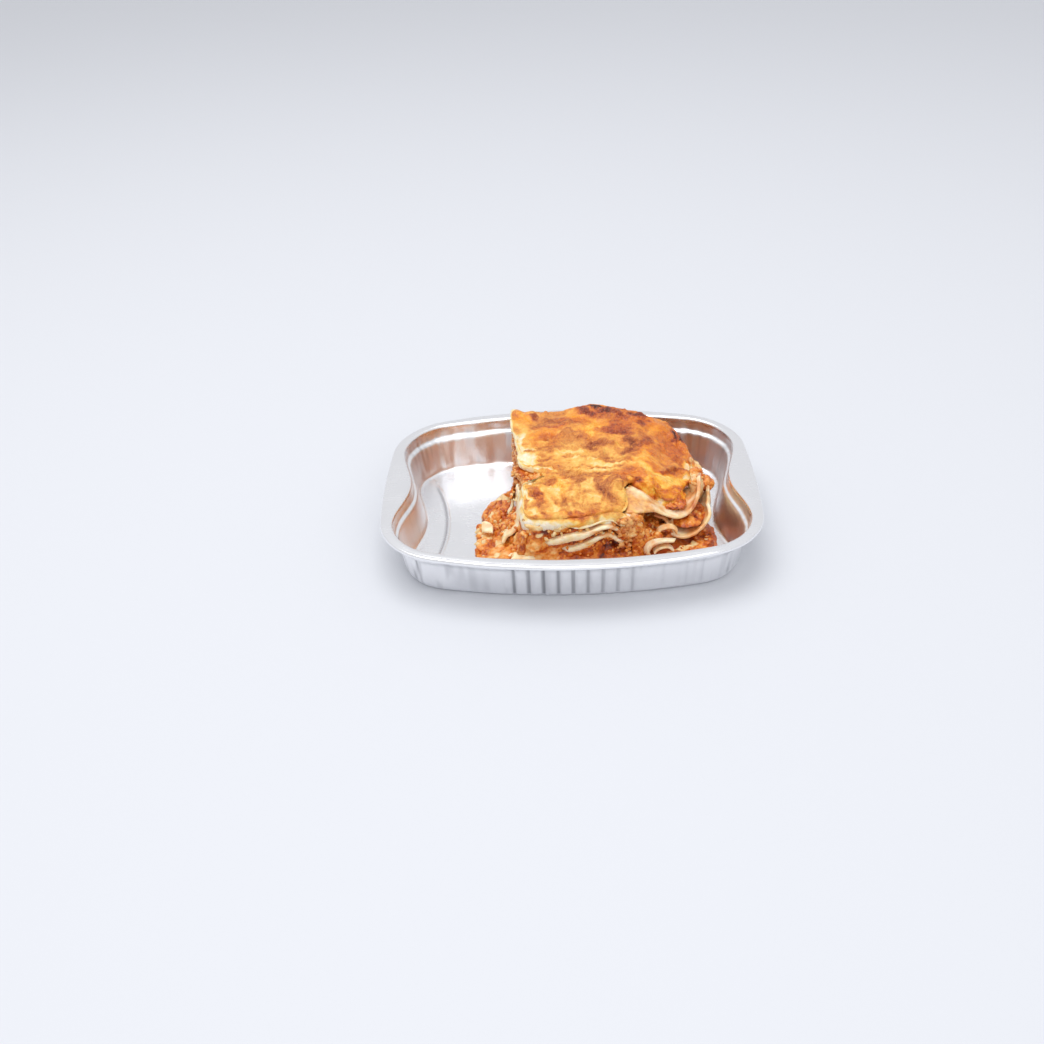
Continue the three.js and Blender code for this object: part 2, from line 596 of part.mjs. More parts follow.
function raguHeaps() {
  const underSheet = (x, y) => x > -46 && y < -8 && y > -42;
  const underLump = (x, y) => Math.abs(x + 51) < 7 && Math.abs(y + 17) < 7;
  return {
    ragu_spill_left: raguHeap({
      outline: SPILL_OUTLINE, centre: SPILL_CENTRE, base: FOIL + GAP, grains: 52, seed: 11,
      height: spillLevel,
      free: (x, y) => x < -40 && !underSheet(x, y) && !underLump(x, y),
    }),
    ragu_spill_right: raguHeap({
      outline: [[44.6, -32], [51, -33], [53, -26], [53.4, -10], [53, 4], [47, 8], [44.4, 2], [44.6, -14]],
      centre: [48, -14], base: POOL_TOP + GAP, grains: 15, seed: 5,
      height: (x, y) => 10 + 3.4 * hill(x, y, 47.5, -18, 5, 15),
      free: (x, y) => x > 45.5 && x < 51 && y > -30 && y < 2,
    }),
  };
}

// ---------------------------------------------------------------- the whole meal
const FINISHES = {
  foil: new THREE.MeshStandardMaterial({ color: 0xd9dbdf, roughness: 0.28, metalness: 1 }),
  crust: new THREE.MeshStandardMaterial({ color: 0xdf8f3c, roughness: 0.5, metalness: 0 }),
  pasta: new THREE.MeshStandardMaterial({ color: 0xecd9ae, roughness: 0.45, metalness: 0 }),
  ragu: new THREE.MeshStandardMaterial({ color: 0xb5622f, roughness: 0.55, metalness: 0 }),
  sauce: new THREE.MeshStandardMaterial({ color: 0xc9762e, roughness: 0.3, metalness: 0 }),
};

const meal = new THREE.Group();

function put(name, geometry, finish) {
  const mesh = new THREE.Mesh(geometry, FINISHES[finish].clone());
  mesh.name = name;
  meal.add(mesh);
}

put('foil_tray', foilTray(), 'foil');
put('sauce_pool', saucePool(), 'sauce');
for (const [name, geometry] of blockLayers()) {
  put(name, geometry, name.startsWith('ragu') ? 'ragu' : 'pasta');
}
put('cheese_top', cheeseTop(), 'crust');
for (const [name, geometry] of Object.entries(drapedSheets())) put(name, geometry, 'pasta');
for (const [name, geometry] of Object.entries(foldFillings())) put(name, geometry, 'ragu');
put('ragu_lump_right', raguLumpRight(), 'ragu');
for (const [name, geometry] of Object.entries(raguHeaps())) put(name, geometry, 'ragu');

export default meal;
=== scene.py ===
"""A part-eaten baked pasta meal in its pinched foil tray, on a pale floor. Lengths are in millimetres."""
import math

import bpy
import numpy as np
from mathutils import Matrix, Vector


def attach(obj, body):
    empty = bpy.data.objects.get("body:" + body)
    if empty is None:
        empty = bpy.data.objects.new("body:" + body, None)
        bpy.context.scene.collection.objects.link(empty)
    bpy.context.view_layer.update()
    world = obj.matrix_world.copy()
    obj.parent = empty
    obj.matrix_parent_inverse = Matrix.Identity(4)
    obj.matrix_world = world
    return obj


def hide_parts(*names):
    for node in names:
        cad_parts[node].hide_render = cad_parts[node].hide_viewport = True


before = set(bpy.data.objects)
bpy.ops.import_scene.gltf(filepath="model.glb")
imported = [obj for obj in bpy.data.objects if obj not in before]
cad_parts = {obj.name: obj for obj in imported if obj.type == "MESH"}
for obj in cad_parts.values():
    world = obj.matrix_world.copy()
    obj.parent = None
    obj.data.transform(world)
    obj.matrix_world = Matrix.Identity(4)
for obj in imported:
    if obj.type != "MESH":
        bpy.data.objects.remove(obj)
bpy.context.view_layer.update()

MM = 0.001  # the scene's metres in one millimetre

# ------------------------------------------------------------------ sizes shared with the solids
GAP = 0.35  # kept free between neighbouring solids
RIM = dict(length=226, width=187.5, side_radius=281, end_radius=624, corner=45.2)
MOUTH = dict(length=208.6, width=169.6, side_radius=340, end_radius=2000, corner=36)
TRAY_HEIGHT = 31
FOIL = 0.8  # how thick the foil is
PINCH_DEPTH = 7.9
PINCH_HALF = 44  # half the width of a pinch
LEDGE_DROP = 8
LEDGE_WIDTH = 2.3
WALL_LEAN = 3.4
BEAD_DROP = 3.1
BEAD_WIDTH = 2.3
FLUTE_PITCH = 8.5  # from groove to groove in the long walls
FLUTE_COUNT = 9
FLUTE_DEPTH = 1.1

BLOCK_CENTRE = (10, 6)
BLOCK_HEIGHT = 37
BACK_RISE = 5
FRONT_FALL = 4.5
SIDE_FALL = 12
LOBE_DROOP = 3.2
CRUST_THICK = 3.2
POOL_TOP = 2.9
FLOOR_TOP = FOIL + GAP  # the underside of the solids that lie on the floor


# ------------------------------------------------------------------ small sums
def ease(t):
    """The smooth step from 0 to 1."""
    t = np.clip(t, 0, 1)
    return t * t * (3 - 2 * t)


def towards(value, target, share):
    """The value, moved towards a target by a share of the way."""
    return value + (target - value) * share


def bell(d, width):
    """1 at the middle, falling off as a Gaussian of that width."""
    return np.exp(-((d / width) ** 2))


def hill(x, y, cx, cy, wx, wy, turn=0):
    """A Gaussian hill on the plan, longer along one way, turned by so many degrees."""
    c, s = math.cos(math.radians(turn)), math.sin(math.radians(turn))
    return bell((x - cx) * c + (y - cy) * s, wx) * bell((y - cy) * c - (x - cx) * s, wy)


def ridge(x, y, middles, width):
    """The greatest of round Gaussians of that width about each of some middles."""
    return np.max([hill(x, y, cx, cy, width, width) for cx, cy in middles], axis=0)


def crest(x, y, points, width):
    """A ridge of height 1 along a smooth curve in the plan: the greatest of round Gaussians set close along
    it."""
    return ridge(x, y, spline(points, np.linspace(0, 1, 26)), width)


def corner_value(corner, seed):
    """A repeatable number from 0 to 1 for each corner of a lattice: its whole coordinates times large
    primes, stirred."""
    mixed = (corner @ np.array([73856093, 19349663, 83492791]) + seed * 40503) & 0xFFFFFFFF
    mixed = ((mixed ^ (mixed >> 15)) * 73244475) & 0xFFFFFFFF
    mixed = ((mixed ^ (mixed >> 13)) * 73244475) & 0xFFFFFFFF
    return (mixed ^ (mixed >> 16)) / 4294967296.0


def noise(points, size, seed=0):
    """Smooth noise from -1 to 1: the corner values of a lattice of that cell size, joined by the smooth
    step."""
    q = np.asarray(points, float) / size
    base = np.floor(q).astype(np.int64)
    blend = ease(q - base)
    total = np.zeros(q.shape[:-1])
    for corner in np.ndindex(2, 2, 2):
        share = np.prod(np.where(corner, blend, 1 - blend), axis=-1)
        total += share * corner_value(base + corner, seed)
    return 2 * total - 1


def rough(points, size, layers=3, seed=0):
    """Layers of noise, each half as wide and half as strong as the one before."""
    return sum(noise(points, np.asarray(size) / 2**k, seed + 17 * k) / 2**k for k in range(layers))


def crumbs(points, size, seed=0):
    """Packed round lumps, 1 on top and 0 between them: the highest dome round one shifted centre in each
    lattice cell."""
    q = np.asarray(points, float) / size
    base = np.floor(q).astype(np.int64)
    height = np.zeros(q.shape[:-1])
    for corner in np.ndindex(3, 3, 3):
        cell = base + corner - 1
        centre = cell + np.stack([corner_value(cell, seed + k) for k in range(3)], axis=-1)
        height = np.maximum(height, 1 - ((q - centre) ** 2).sum(axis=-1) / 0.55)
    return height


def flat(x, y, z=0):
    """Points on the plan from two arrays, for the noises."""
    return np.stack(np.broadcast_arrays(x, y, z), axis=-1).astype(float)


# ------------------------------------------------------------------ curves
def spline(points, shares, closed=False):
    """Points of a centripetal Catmull-Rom curve: each stretch is the cubic whose end slopes come from the
    neighbouring points, weighted by the square roots of their distances. An open curve's ends are
    mirrored."""
    p = np.asarray(points, float)
    if closed:
        padded = np.concatenate([p[-1:], p, p[:2]])
        stretches = len(p)
    else:
        padded = np.concatenate([[2 * p[0] - p[1]], p, [2 * p[-1] - p[-2]]])
        stretches = len(p) - 1
    at = np.clip(np.asarray(shares, float), 0, 1) * stretches
    i = np.minimum(at.astype(int), stretches - 1)
    t = (at - i)[:, None]
    a, b, c, d = (padded[i + k] for k in range(4))
    d0, d1, d2 = (np.sqrt(np.linalg.norm(v - u, axis=1, keepdims=True)) for u, v in ((a, b), (b, c), (c, d)))
    slope_b = ((b - a) / d0 - (c - a) / (d0 + d1) + (c - b) / d1) * d1
    slope_c = ((c - b) / d1 - (d - b) / (d1 + d2) + (d - c) / d2) * d1
    bend = -3 * b + 3 * c - 2 * slope_b - slope_c
    twist = 2 * b - 2 * c + slope_b + slope_c
    return b + slope_b * t + bend * t**2 + twist * t**3


def food_reach(outline, centre=BLOCK_CENTRE):
    """Distance from the centre to a closed smooth outline, as a function of the angle."""
    points = spline(outline, np.arange(900) / 900, closed=True)
    angles = np.arctan2(points[:, 1] - centre[1], points[:, 0] - centre[0])
    far = np.hypot(points[:, 0] - centre[0], points[:, 1] - centre[1])
    order = np.argsort(angles)

    def reach(angle):
        return np.interp(angle, angles[order], far[order], period=2 * math.pi)

    return reach


def share_of_reach(x, y, centre, reach):
    """How far out a place lies, from 0 at the centre to 1 on the outline."""
    return np.hypot(x - centre[0], y - centre[1]) / reach(np.arctan2(y - centre[1], x - centre[0]))


def raised(surface, step):
    """The same surface over the plan, so much higher."""
    return lambda x, y: surface(x, y) + step


def level(z):
    """A level surface over the plan."""
    return lambda x, y: np.full_like(np.asarray(x, float), z)


def spokes(count, crowding=0.0):
    """Angles round a layer; crowding packs them towards the front."""
    even = np.arange(count) / count * 2 * math.pi
    return even - crowding * np.cos(even)


# ------------------------------------------------------------------ skins and meshes
def outward(rings):
    """Unit normals of a skin of closed rings: the step along a ring crossed with the step from ring to
    ring."""
    along = np.roll(rings, -1, axis=1) - np.roll(rings, 1, axis=1)
    normal = np.cross(along, np.gradient(rings, axis=0))
    return normal / (np.linalg.norm(normal, axis=-1, keepdims=True) + 1e-9)


def pushed_out(rings, relief):
    """The rings, moved along their normals."""
    return rings + outward(rings) * relief[..., None]


def skin_faces(rows, columns):
    """Corner numbers of a closed skin: a fan, quads from ring to ring, and a fan. The two poles come
    last."""
    column = np.arange(columns)
    after = (column + 1) % columns
    row = np.arange(rows - 1)[:, None] * columns
    quads = np.stack([row + column, row + after, row + columns + after, row + columns + column], axis=-1)
    low, high = rows * columns, rows * columns + 1
    top = (rows - 1) * columns
    first = np.stack([np.full(columns, low), after, column], axis=-1)
    last = np.stack([np.full(columns, high), top + column, top + after], axis=-1)
    return [quads.reshape(-1, 4), first, last]


def volume(points, faces):
    """Signed volume inside closed faces: the sum of the tetrahedra from the origin to each corner
    triangle."""
    total = 0
    for group in faces:
        for k in range(1, group.shape[1] - 1):
            a, b, c = (points[group[:, j]] for j in (0, k, k + 1))
            total += np.einsum("ij,ij->", a, np.cross(b, c))
    return total / 6


def new_piece(name, points, faces, finish, replaces=(), **paint):
    """A mesh piece that rides on the meal. paint gives named numbers for each point."""
    if volume(points, faces) < 0:
        faces = [group[:, ::-1] for group in faces]
    mesh = bpy.data.meshes.new(name)
    mesh.vertices.add(len(points))
    mesh.vertices.foreach_set("co", (points * MM).astype(np.float32).ravel())
    sizes = np.concatenate([np.full(len(group), group.shape[1]) for group in faces])
    corners = np.concatenate([group.ravel() for group in faces])
    mesh.loops.add(len(corners))
    mesh.loops.foreach_set("vertex_index", corners.astype(np.int32))
    mesh.polygons.add(len(sizes))
    mesh.polygons.foreach_set("loop_start", (np.cumsum(sizes) - sizes).astype(np.int32))
    mesh.polygons.foreach_set("use_smooth", np.ones(len(sizes), bool))
    for label, values in paint.items():
        layer = mesh.attributes.new(label, "FLOAT", "POINT")
        layer.data.foreach_set("value", np.asarray(values, np.float32).ravel())
    mesh.update(calc_edges=True)
    mesh.validate()
    mesh.materials.append(finish)
    piece = bpy.data.objects.new(name, mesh)
    bpy.context.scene.collection.objects.link(piece)
    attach(piece, "root")
    if replaces:
        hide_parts(*replaces)


def skin_piece(name, rings, finish, replaces=(), poles=None, **paint):
    """A closed piece from rings of points, with a pole in the middle of each end ring. paint holds one
    number for each point of the rings; a pole takes the mean of its ring."""
    low, high = poles or (rings[0].mean(axis=0), rings[-1].mean(axis=0))
    points = np.concatenate([rings.reshape(-1, 3), [low, high]])
    full = {}
    for label, values in paint.items():
        values = np.broadcast_to(values, rings.shape[:2])
        full[label] = np.concatenate([values.ravel(), [values[0].mean(), values[-1].mean()]])
    new_piece(name, points, skin_faces(*rings.shape[:2]), finish, replaces, **full)


# ------------------------------------------------------------------ shader shorthand
class Number:
    """A number socket of a material that takes Python's operators; each adds its Math node."""

    def __init__(self, finish, socket):
        self.finish = finish
        self.socket = socket

    def _maths(self, operation, *values):
        return self.finish.number("ShaderNodeMath", {"operation": operation}, dict(enumerate(values)))

    def __add__(self, other):
        return self._maths("ADD", self, other)

    def __radd__(self, other):
        return self._maths("ADD", other, self)

    def __sub__(self, other):
        return self._maths("SUBTRACT", self, other)

    def __rsub__(self, other):
        return self._maths("SUBTRACT", other, self)

    def __mul__(self, other):
        return self._maths("MULTIPLY", self, other)

    def __rmul__(self, other):
        return self._maths("MULTIPLY", other, self)

    def clamp(self):
        return self._maths("MINIMUM", self._maths("MAXIMUM", self, 0.0), 1.0)

    def above(self, edge, width):
        """0 below an edge and 1 above it, over a slope of that width."""
        return ((self - (edge - width / 2)) * (1 / width)).clamp()


class Finish:
    """A procedural material: its Principled shader, and the shorthand that adds nodes to it."""

    def __init__(self, name, **constants):
        self.material = bpy.data.materials.new(name)
        self.material.use_nodes = True
        self.tree = self.material.node_tree
        self.shader = self.tree.nodes["Principled BSDF"]
        self.place = self.node("ShaderNodeTexCoord").outputs["Object"]
        for label, value in constants.items():
            self.shader.inputs[label.replace("_", " ").title().replace("Ior", "IOR")].default_value = value

    def node(self, kind, settings=None, sockets=None):
        """Adds a node of a kind, with its settings made first and then its sockets' values or links."""
        made = self.tree.nodes.new(kind)
        for label, value in (settings or {}).items():
            if label == "stops":
                ramp = made.color_ramp
                while len(ramp.elements) < len(value):
                    ramp.elements.new(0.5)
                for element, (position, colour) in zip(ramp.elements, value):
                    element.position = position
                    element.color = colour
            else:
                setattr(made, label, value)
        for label, value in (sockets or {}).items():
            value = getattr(value, "socket", value)
            if isinstance(value, bpy.types.NodeSocket):
                self.tree.links.new(value, made.inputs[label])
            else:
                made.inputs[label].default_value = value
        return made

    def number(self, kind, settings=None, sockets=None, output=0):
        """The number that a node of a kind gives at one of its outputs."""
        return Number(self, self.node(kind, settings, sockets).outputs[output])

    def grain(self, size, detail=3.0, stretch=(1, 1, 1), roughness=0.55):
        """Noise from 0 to 1 of a size in millimetres, drawn out along the axes by stretch."""
        where = self.place
        if stretch != (1, 1, 1):
            scale = tuple(1 / s for s in stretch)
            where = self.node("ShaderNodeMapping", None, {"Vector": where, "Scale": scale}).outputs[0]
        sockets = {"Vector": where, "Scale": 1 / (size * MM), "Detail": detail, "Roughness": roughness}
        return self.number("ShaderNodeTexNoise", None, sockets)

    def cells(self, size):
        """Distance to the nearest of scattered points, whose cells have a size in millimetres."""
        return self.number("ShaderNodeTexVoronoi", None, {"Vector": self.place, "Scale": 1 / (size * MM)})

    def painted(self, label):
        """The number painted on the piece's points under that label."""
        return self.number("ShaderNodeAttribute", {"attribute_name": label}, output=2)

    def ramp(self, value, stops):
        """The colour that a number from 0 to 1 has between stops, each a number and a colour on the
        screen."""
        stops = [(position, tint(*colour)) for position, colour in stops]
        return self.node("ShaderNodeValToRGB", {"stops": stops}, {"Fac": value}).outputs[0]

    def mix(self, share, first, second):
        """Two colours, mixed by a share. A colour is another node's output or three numbers on the
        screen."""
        first, second = (tint(*colour) if isinstance(colour, tuple) else colour for colour in (first, second))
        sockets = {"Factor": share, 6: first, 7: second}
        return self.node("ShaderNodeMix", {"data_type": "RGBA"}, sockets).outputs[2]

    def bump(self, height, depth, strength=1.0, below=None):
        """A Bump node whose height of 1 is so many millimetres deep."""
        sockets = {"Height": height, "Distance": depth * MM, "Strength": strength}
        if below is not None:
            sockets["Normal"] = below
        return self.node("ShaderNodeBump", None, sockets).outputs[0]

    def finish(self, **links):
        """Links the shader's sockets, and gives the material."""
        for label, value in links.items():
            socket = self.shader.inputs[label.replace("_", " ").title()]
            self.tree.links.new(getattr(value, "socket", value), socket)
        return self.material


def tint(red, green, blue):
    """A colour from 0 to 255 on the screen, as the shader's linear colour."""
    shares = (red / 255, green / 255, blue / 255)
    return (*(c / 12.92 if c <= 0.04045 else ((c + 0.055) / 1.055) ** 2.4 for c in shares), 1.0)


def lit_through(weight, red, green, blue):
    """The settings of a food that light goes into, each colour so many millimetres deep."""
    return dict(subsurface_weight=weight, subsurface_radius=(red * MM, green * MM, blue * MM),
                subsurface_scale=1.0)


# ------------------------------------------------------------------ finishes
def foil_finish():
    """Bright drawn foil: upright drawing lines on the walls and faint long brushing elsewhere. Painted shade
    darkens the colour where shade is painted: in the grooves of the outer wall, on one side of each crease
    and beside the floor's ridge."""
    f = Finish("drawn_foil", metallic=1.0)
    wall = f.painted("wall")
    shade = f.painted("shade")
    drawn = f.grain(0.9, 2, stretch=(1, 1, 22))
    brushed = f.grain(1.2, 2, stretch=(12, 1, 1))
    soft = f.grain(13, 1)
    relief = f.bump(soft, 0.1)
    relief = f.bump(drawn * wall, 0.05, below=relief)
    relief = f.bump(brushed, 0.002, below=relief)
    # painted shade: the colour is darkened towards grey where shade is painted
    colour = f.mix(shade.clamp() * 0.8, (250, 250, 252), (104, 104, 112))
    return f.finish(base_color=colour, roughness=0.19 + 0.1 * soft + 0.05 * brushed + 0.1 * wall,
                    normal=relief)


def crust_finish():
    """Browned melted cheese: toast runs from white sauce over yellow, gold and tan to burnt, smooth where it
    is yellow and grainy where it is brown, and oil makes the colour deeper and the surface glossier. The
    painted toast also carries painted shade in hollows and painted highlights on the lobe under the lip."""
    f = Finish("browned_cheese", coat_roughness=0.22, specular_ior_level=0.3, **lit_through(0.1, 2, 1, 0.5))
    toast = f.painted("toast")
    browned = toast.above(0.48, 0.3)
    fine = (f.grain(1.0, 4, roughness=0.75) - 0.5) * (0.24 + 0.36 * browned)
    toast = toast + 0.3 * (f.grain(2.8, 4, roughness=0.6) - 0.5) + fine
    oil = (f.painted("oil") + 0.5 * (f.grain(4.5, 3) - 0.5)).clamp()
    dry = f.ramp(toast.clamp(), [
        (0.0, (250, 240, 220)), (0.16, (252, 226, 164)), (0.32, (249, 200, 108)),
        (0.46, (233, 165, 84)), (0.6, (205, 134, 72)), (0.74, (174, 100, 56)),
        (0.88, (112, 46, 24)), (1.0, (30, 15, 10)),
    ])
    oily = f.ramp(toast.clamp(), [
        (0.0, (250, 226, 180)), (0.18, (252, 202, 86)), (0.34, (245, 158, 38)),
        (0.5, (224, 120, 28)), (0.64, (194, 90, 34)), (0.78, (150, 56, 24)),
        (0.9, (92, 26, 12)), (1.0, (26, 12, 8)),
    ])
    colour = f.mix(oil, dry, oily)
    freckles = f.grain(0.7, 2).above(0.62, 0.1) * browned
    colour = f.mix(freckles * 0.5, colour, (142, 74, 40))
    colour = f.mix(f.grain(0.8, 2).above(0.66, 0.1) * browned * 0.45, colour, (240, 196, 130))
    relief = f.bump(f.grain(3.4, 3), 1.1, 0.8)
    relief = f.bump(f.grain(1.1, 4, roughness=0.7) * (0.6 + 0.4 * browned), 0.8, 0.8, below=relief)
    relief = f.bump(f.cells(1.9) * browned, 0.22, 0.7, below=relief)
    gloss = 0.5 - 0.24 * oil + 0.3 * (f.grain(1.6, 3) - 0.5) + 0.1 * browned
    return f.finish(base_color=colour, roughness=gloss, coat_weight=oil * 0.3, normal=relief)


def pasta_finish():
    """Cooked pasta in white sauce: cream, stained orange by the sauce where stain is painted, moist, and
    browned where it lay under the crust."""
    f = Finish("cooked_pasta", coat_roughness=0.15, **lit_through(0.15, 3, 1.6, 0.8))
    patches = f.grain(6, 4)
    stain = (f.painted("stain") + 0.8 * (f.grain(3.6, 4, roughness=0.6) - 0.52)).clamp()
    toast = f.painted("toast")
    colour = f.mix(patches.above(0.55, 0.3), (252, 238, 204), (246, 214, 148))
    colour = f.mix(stain.above(0.4, 0.5) * 0.8, colour, (228, 150, 70))
    colour = f.mix(stain.above(0.84, 0.3) * 0.8, colour, (184, 88, 34))
    baked = f.ramp(f.grain(3.4, 4), [(0.3, (246, 204, 116)), (0.5, (232, 162, 82)), (0.7, (196, 116, 64))])
    colour = f.mix(toast.clamp(), colour, baked)
    relief = f.bump(f.grain(1.6, 3), 0.2, 0.8)
    wet = f.grain(3.4, 3)
    return f.finish(base_color=colour, roughness=0.48 - 0.28 * wet, coat_weight=wet.above(0.5, 0.3) * 0.45,
                    normal=relief)


def sauce_finish(name, dark, middle, light, oiliness=0.5, relief_depth=0.5):
    """Meat sauce: dark hollows, brown-orange meat and lighter crumbs, with a wet oily shine; white sauce
    where cream is painted. The dark hollows and lighter lump tops are painted shade and highlight."""
    f = Finish(name, coat_roughness=0.1, specular_ior_level=0.3, **lit_through(0.08, 2, 0.8, 0.4))
    lump = f.cells(2.8)
    mottle = f.grain(3.2, 4, roughness=0.66)
    # painted shade and highlight: darker between the cells' lumps, lighter on their raised middles
    tone = f.painted("tone") + 1.5 * (mottle - 0.5) + 0.3 * (0.5 - lump)
    colour = f.ramp(tone.clamp(), [(0.0, dark), (0.4, middle), (0.7, light), (1.0, (242, 188, 116))])
    cream = (f.painted("cream") + 0.7 * (f.grain(2.6, 4) - 0.5)).above(0.5, 0.3)
    pale = f.mix(f.grain(4, 3).above(0.5, 0.4), (246, 226, 176), (234, 178, 98))
    colour = f.mix(cream, colour, pale)
    relief = f.bump(1 - lump, 0.6 * relief_depth, 0.8)
    relief = f.bump(f.grain(1.1, 3), 0.2, 0.7, below=relief)
    wet = f.grain(2.2, 3)
    return f.finish(base_color=colour, roughness=0.5 - oiliness * 0.6 * wet,
                    coat_weight=wet.above(0.45, 0.2) * oiliness, normal=relief)


def white_sauce_finish():
    """Set white sauce: warm white, faintly yellow, smooth and moist."""
    f = Finish("white_sauce", coat_weight=0.3, coat_roughness=0.15, **lit_through(0.2, 3, 2, 1))
    tone = f.grain(2.5, 3)
    colour = f.mix(tone.above(0.45, 0.4), (246, 228, 184), (234, 188, 116))
    return f.finish(base_color=colour, roughness=0.42 - 0.2 * tone, normal=f.bump(f.grain(1.2, 3), 0.15, 0.7))


def thin_sauce_finish():
    """Thin oily tomato sauce lying on the foil: orange, darker where its painted tone is low, which holds
    painted shade between the lumps, nearly mirror wet.
    """
    f = Finish("thin_sauce", coat_weight=0.5, coat_roughness=0.06, **lit_through(0.08, 2, 0.8, 0.4))
    tone = f.painted("tone") + 1.2 * (f.grain(4, 5, roughness=0.68) - 0.5)
    colour = f.ramp(tone.clamp(), [(0, (128, 46, 16)), (0.4, (190, 88, 34)), (0.7, (220, 128, 56)),
                                   (1, (240, 178, 104))])
    return f.finish(base_color=colour, roughness=0.16 + 0.35 * f.grain(3, 3),
                    normal=f.bump(f.grain(2, 4), 0.5, 0.8))


FOIL_FINISH = foil_finish()
CRUST_FINISH = crust_finish()
PASTA_FINISH = pasta_finish()
RAGU_FINISH = sauce_finish("meat_sauce", (100, 28, 4), (196, 88, 14), (236, 148, 56))
MINCE_FINISH = sauce_finish("minced_meat", (120, 48, 14), (194, 106, 42), (232, 166, 98), 0.4, 0.3)
WHITE_FINISH = white_sauce_finish()
POOL_FINISH = thin_sauce_finish()


# ------------------------------------------------------------------ foil tray
def bowed_reach(angle, length, width, side_radius, end_radius, corner):
    """Distance from the middle to an outline of two bowed sides, two bowed ends and four round corners: the
    far root of the circle that the direction meets, side, end or corner."""
    side = np.array([0, width / 2 - side_radius])
    end = np.array([length / 2 - end_radius, 0])
    apart = np.linalg.norm(end - side)
    to_end = (end - side) / apart
    a, b = side_radius - corner, end_radius - corner
    along = (a * a - b * b + apart * apart) / (2 * apart)
    round_middle = (side + to_end * along + np.array([to_end[1], -to_end[0]])
                    * math.sqrt(a * a - along * along))
    meet_side = side + (round_middle - side) * side_radius / np.linalg.norm(round_middle - side)
    meet_end = end + (round_middle - end) * end_radius / np.linalg.norm(round_middle - end)
    way = np.stack([np.abs(np.cos(angle)), np.abs(np.sin(angle))], axis=-1)
    bend = np.arctan2(way[..., 1], way[..., 0])

    def far_root(middle, radius):
        q = way @ middle
        return q + np.sqrt(np.maximum(0, radius**2 - middle @ middle + q * q))

    reach = far_root(round_middle, corner)
    reach = np.where(bend < math.atan2(meet_end[1], meet_end[0]), far_root(end, end_radius), reach)
    return np.where(bend > math.atan2(meet_side[1], meet_side[0]), far_root(side, side_radius), reach)


def mouth_points(angle):
    """The inner edge of the flange, with the two ends pinched in by a squared cosine."""
    reach = bowed_reach(angle, **MOUTH)
    x, y = reach * np.cos(angle), reach * np.sin(angle)
    pinched = (np.abs(y) < PINCH_HALF) & (np.abs(x) > PINCH_HALF * 1.2)
    depth = PINCH_DEPTH * np.cos(np.pi * y / (2 * PINCH_HALF)) ** 2
    return np.stack([np.where(pinched, x - np.sign(x) * depth, x), y], axis=-1)


LEDGE_HEIGHT = TRAY_HEIGHT - LEDGE_DROP
LEDGE_INSET = 0.6  # how far the ledge's outer edge lies in from the mouth
AROUND = np.arange(720) / 720 * 2 * math.pi
MOUTH_LINE = mouth_points(AROUND)
MOUTH_X, MOUTH_Y = MOUTH_LINE.T
ON_LONG_WALLS = (np.abs(MOUTH_X) < FLUTE_COUNT * FLUTE_PITCH / 2) & (np.abs(MOUTH_Y) > PINCH_HALF)
GROOVE_WAVE = (0.5 - 0.5 * np.cos(2 * np.pi * (MOUTH_X + FLUTE_PITCH / 2) / FLUTE_PITCH)) ** 2
GROOVE = np.where(ON_LONG_WALLS, FLUTE_DEPTH * GROOVE_WAVE, 0)


def out_of_mouth():
    """Unit normals of the mouth's line on the plan, pointing out of the tray: its tangent, turned."""
    tangent = mouth_points(AROUND + 1e-3) - mouth_points(AROUND - 1e-3)
    out = np.stack([tangent[:, 1], -tangent[:, 0]], axis=-1)
    return out / np.linalg.norm(out, axis=1, keepdims=True)


OUT_OF_MOUTH = out_of_mouth()


def wall_ring(inset, z, fluted=False):
    """A ring that runs inside the mouth at a distance, pressed in at the grooves where the wall is
    fluted."""
    move = inset + GROOVE[:, None] if fluted else inset
    return np.column_stack([MOUTH_LINE - OUT_OF_MOUTH * move, np.full(len(AROUND), z)])


def rim_ring(inset, z):
    """A ring that runs inside the rim's outline at a distance."""
    way = np.arctan2(MOUTH_Y, MOUTH_X)
    reach = bowed_reach(way, **RIM) - inset
    return np.column_stack([reach * np.cos(way), reach * np.sin(way), np.full(len(AROUND), z)])


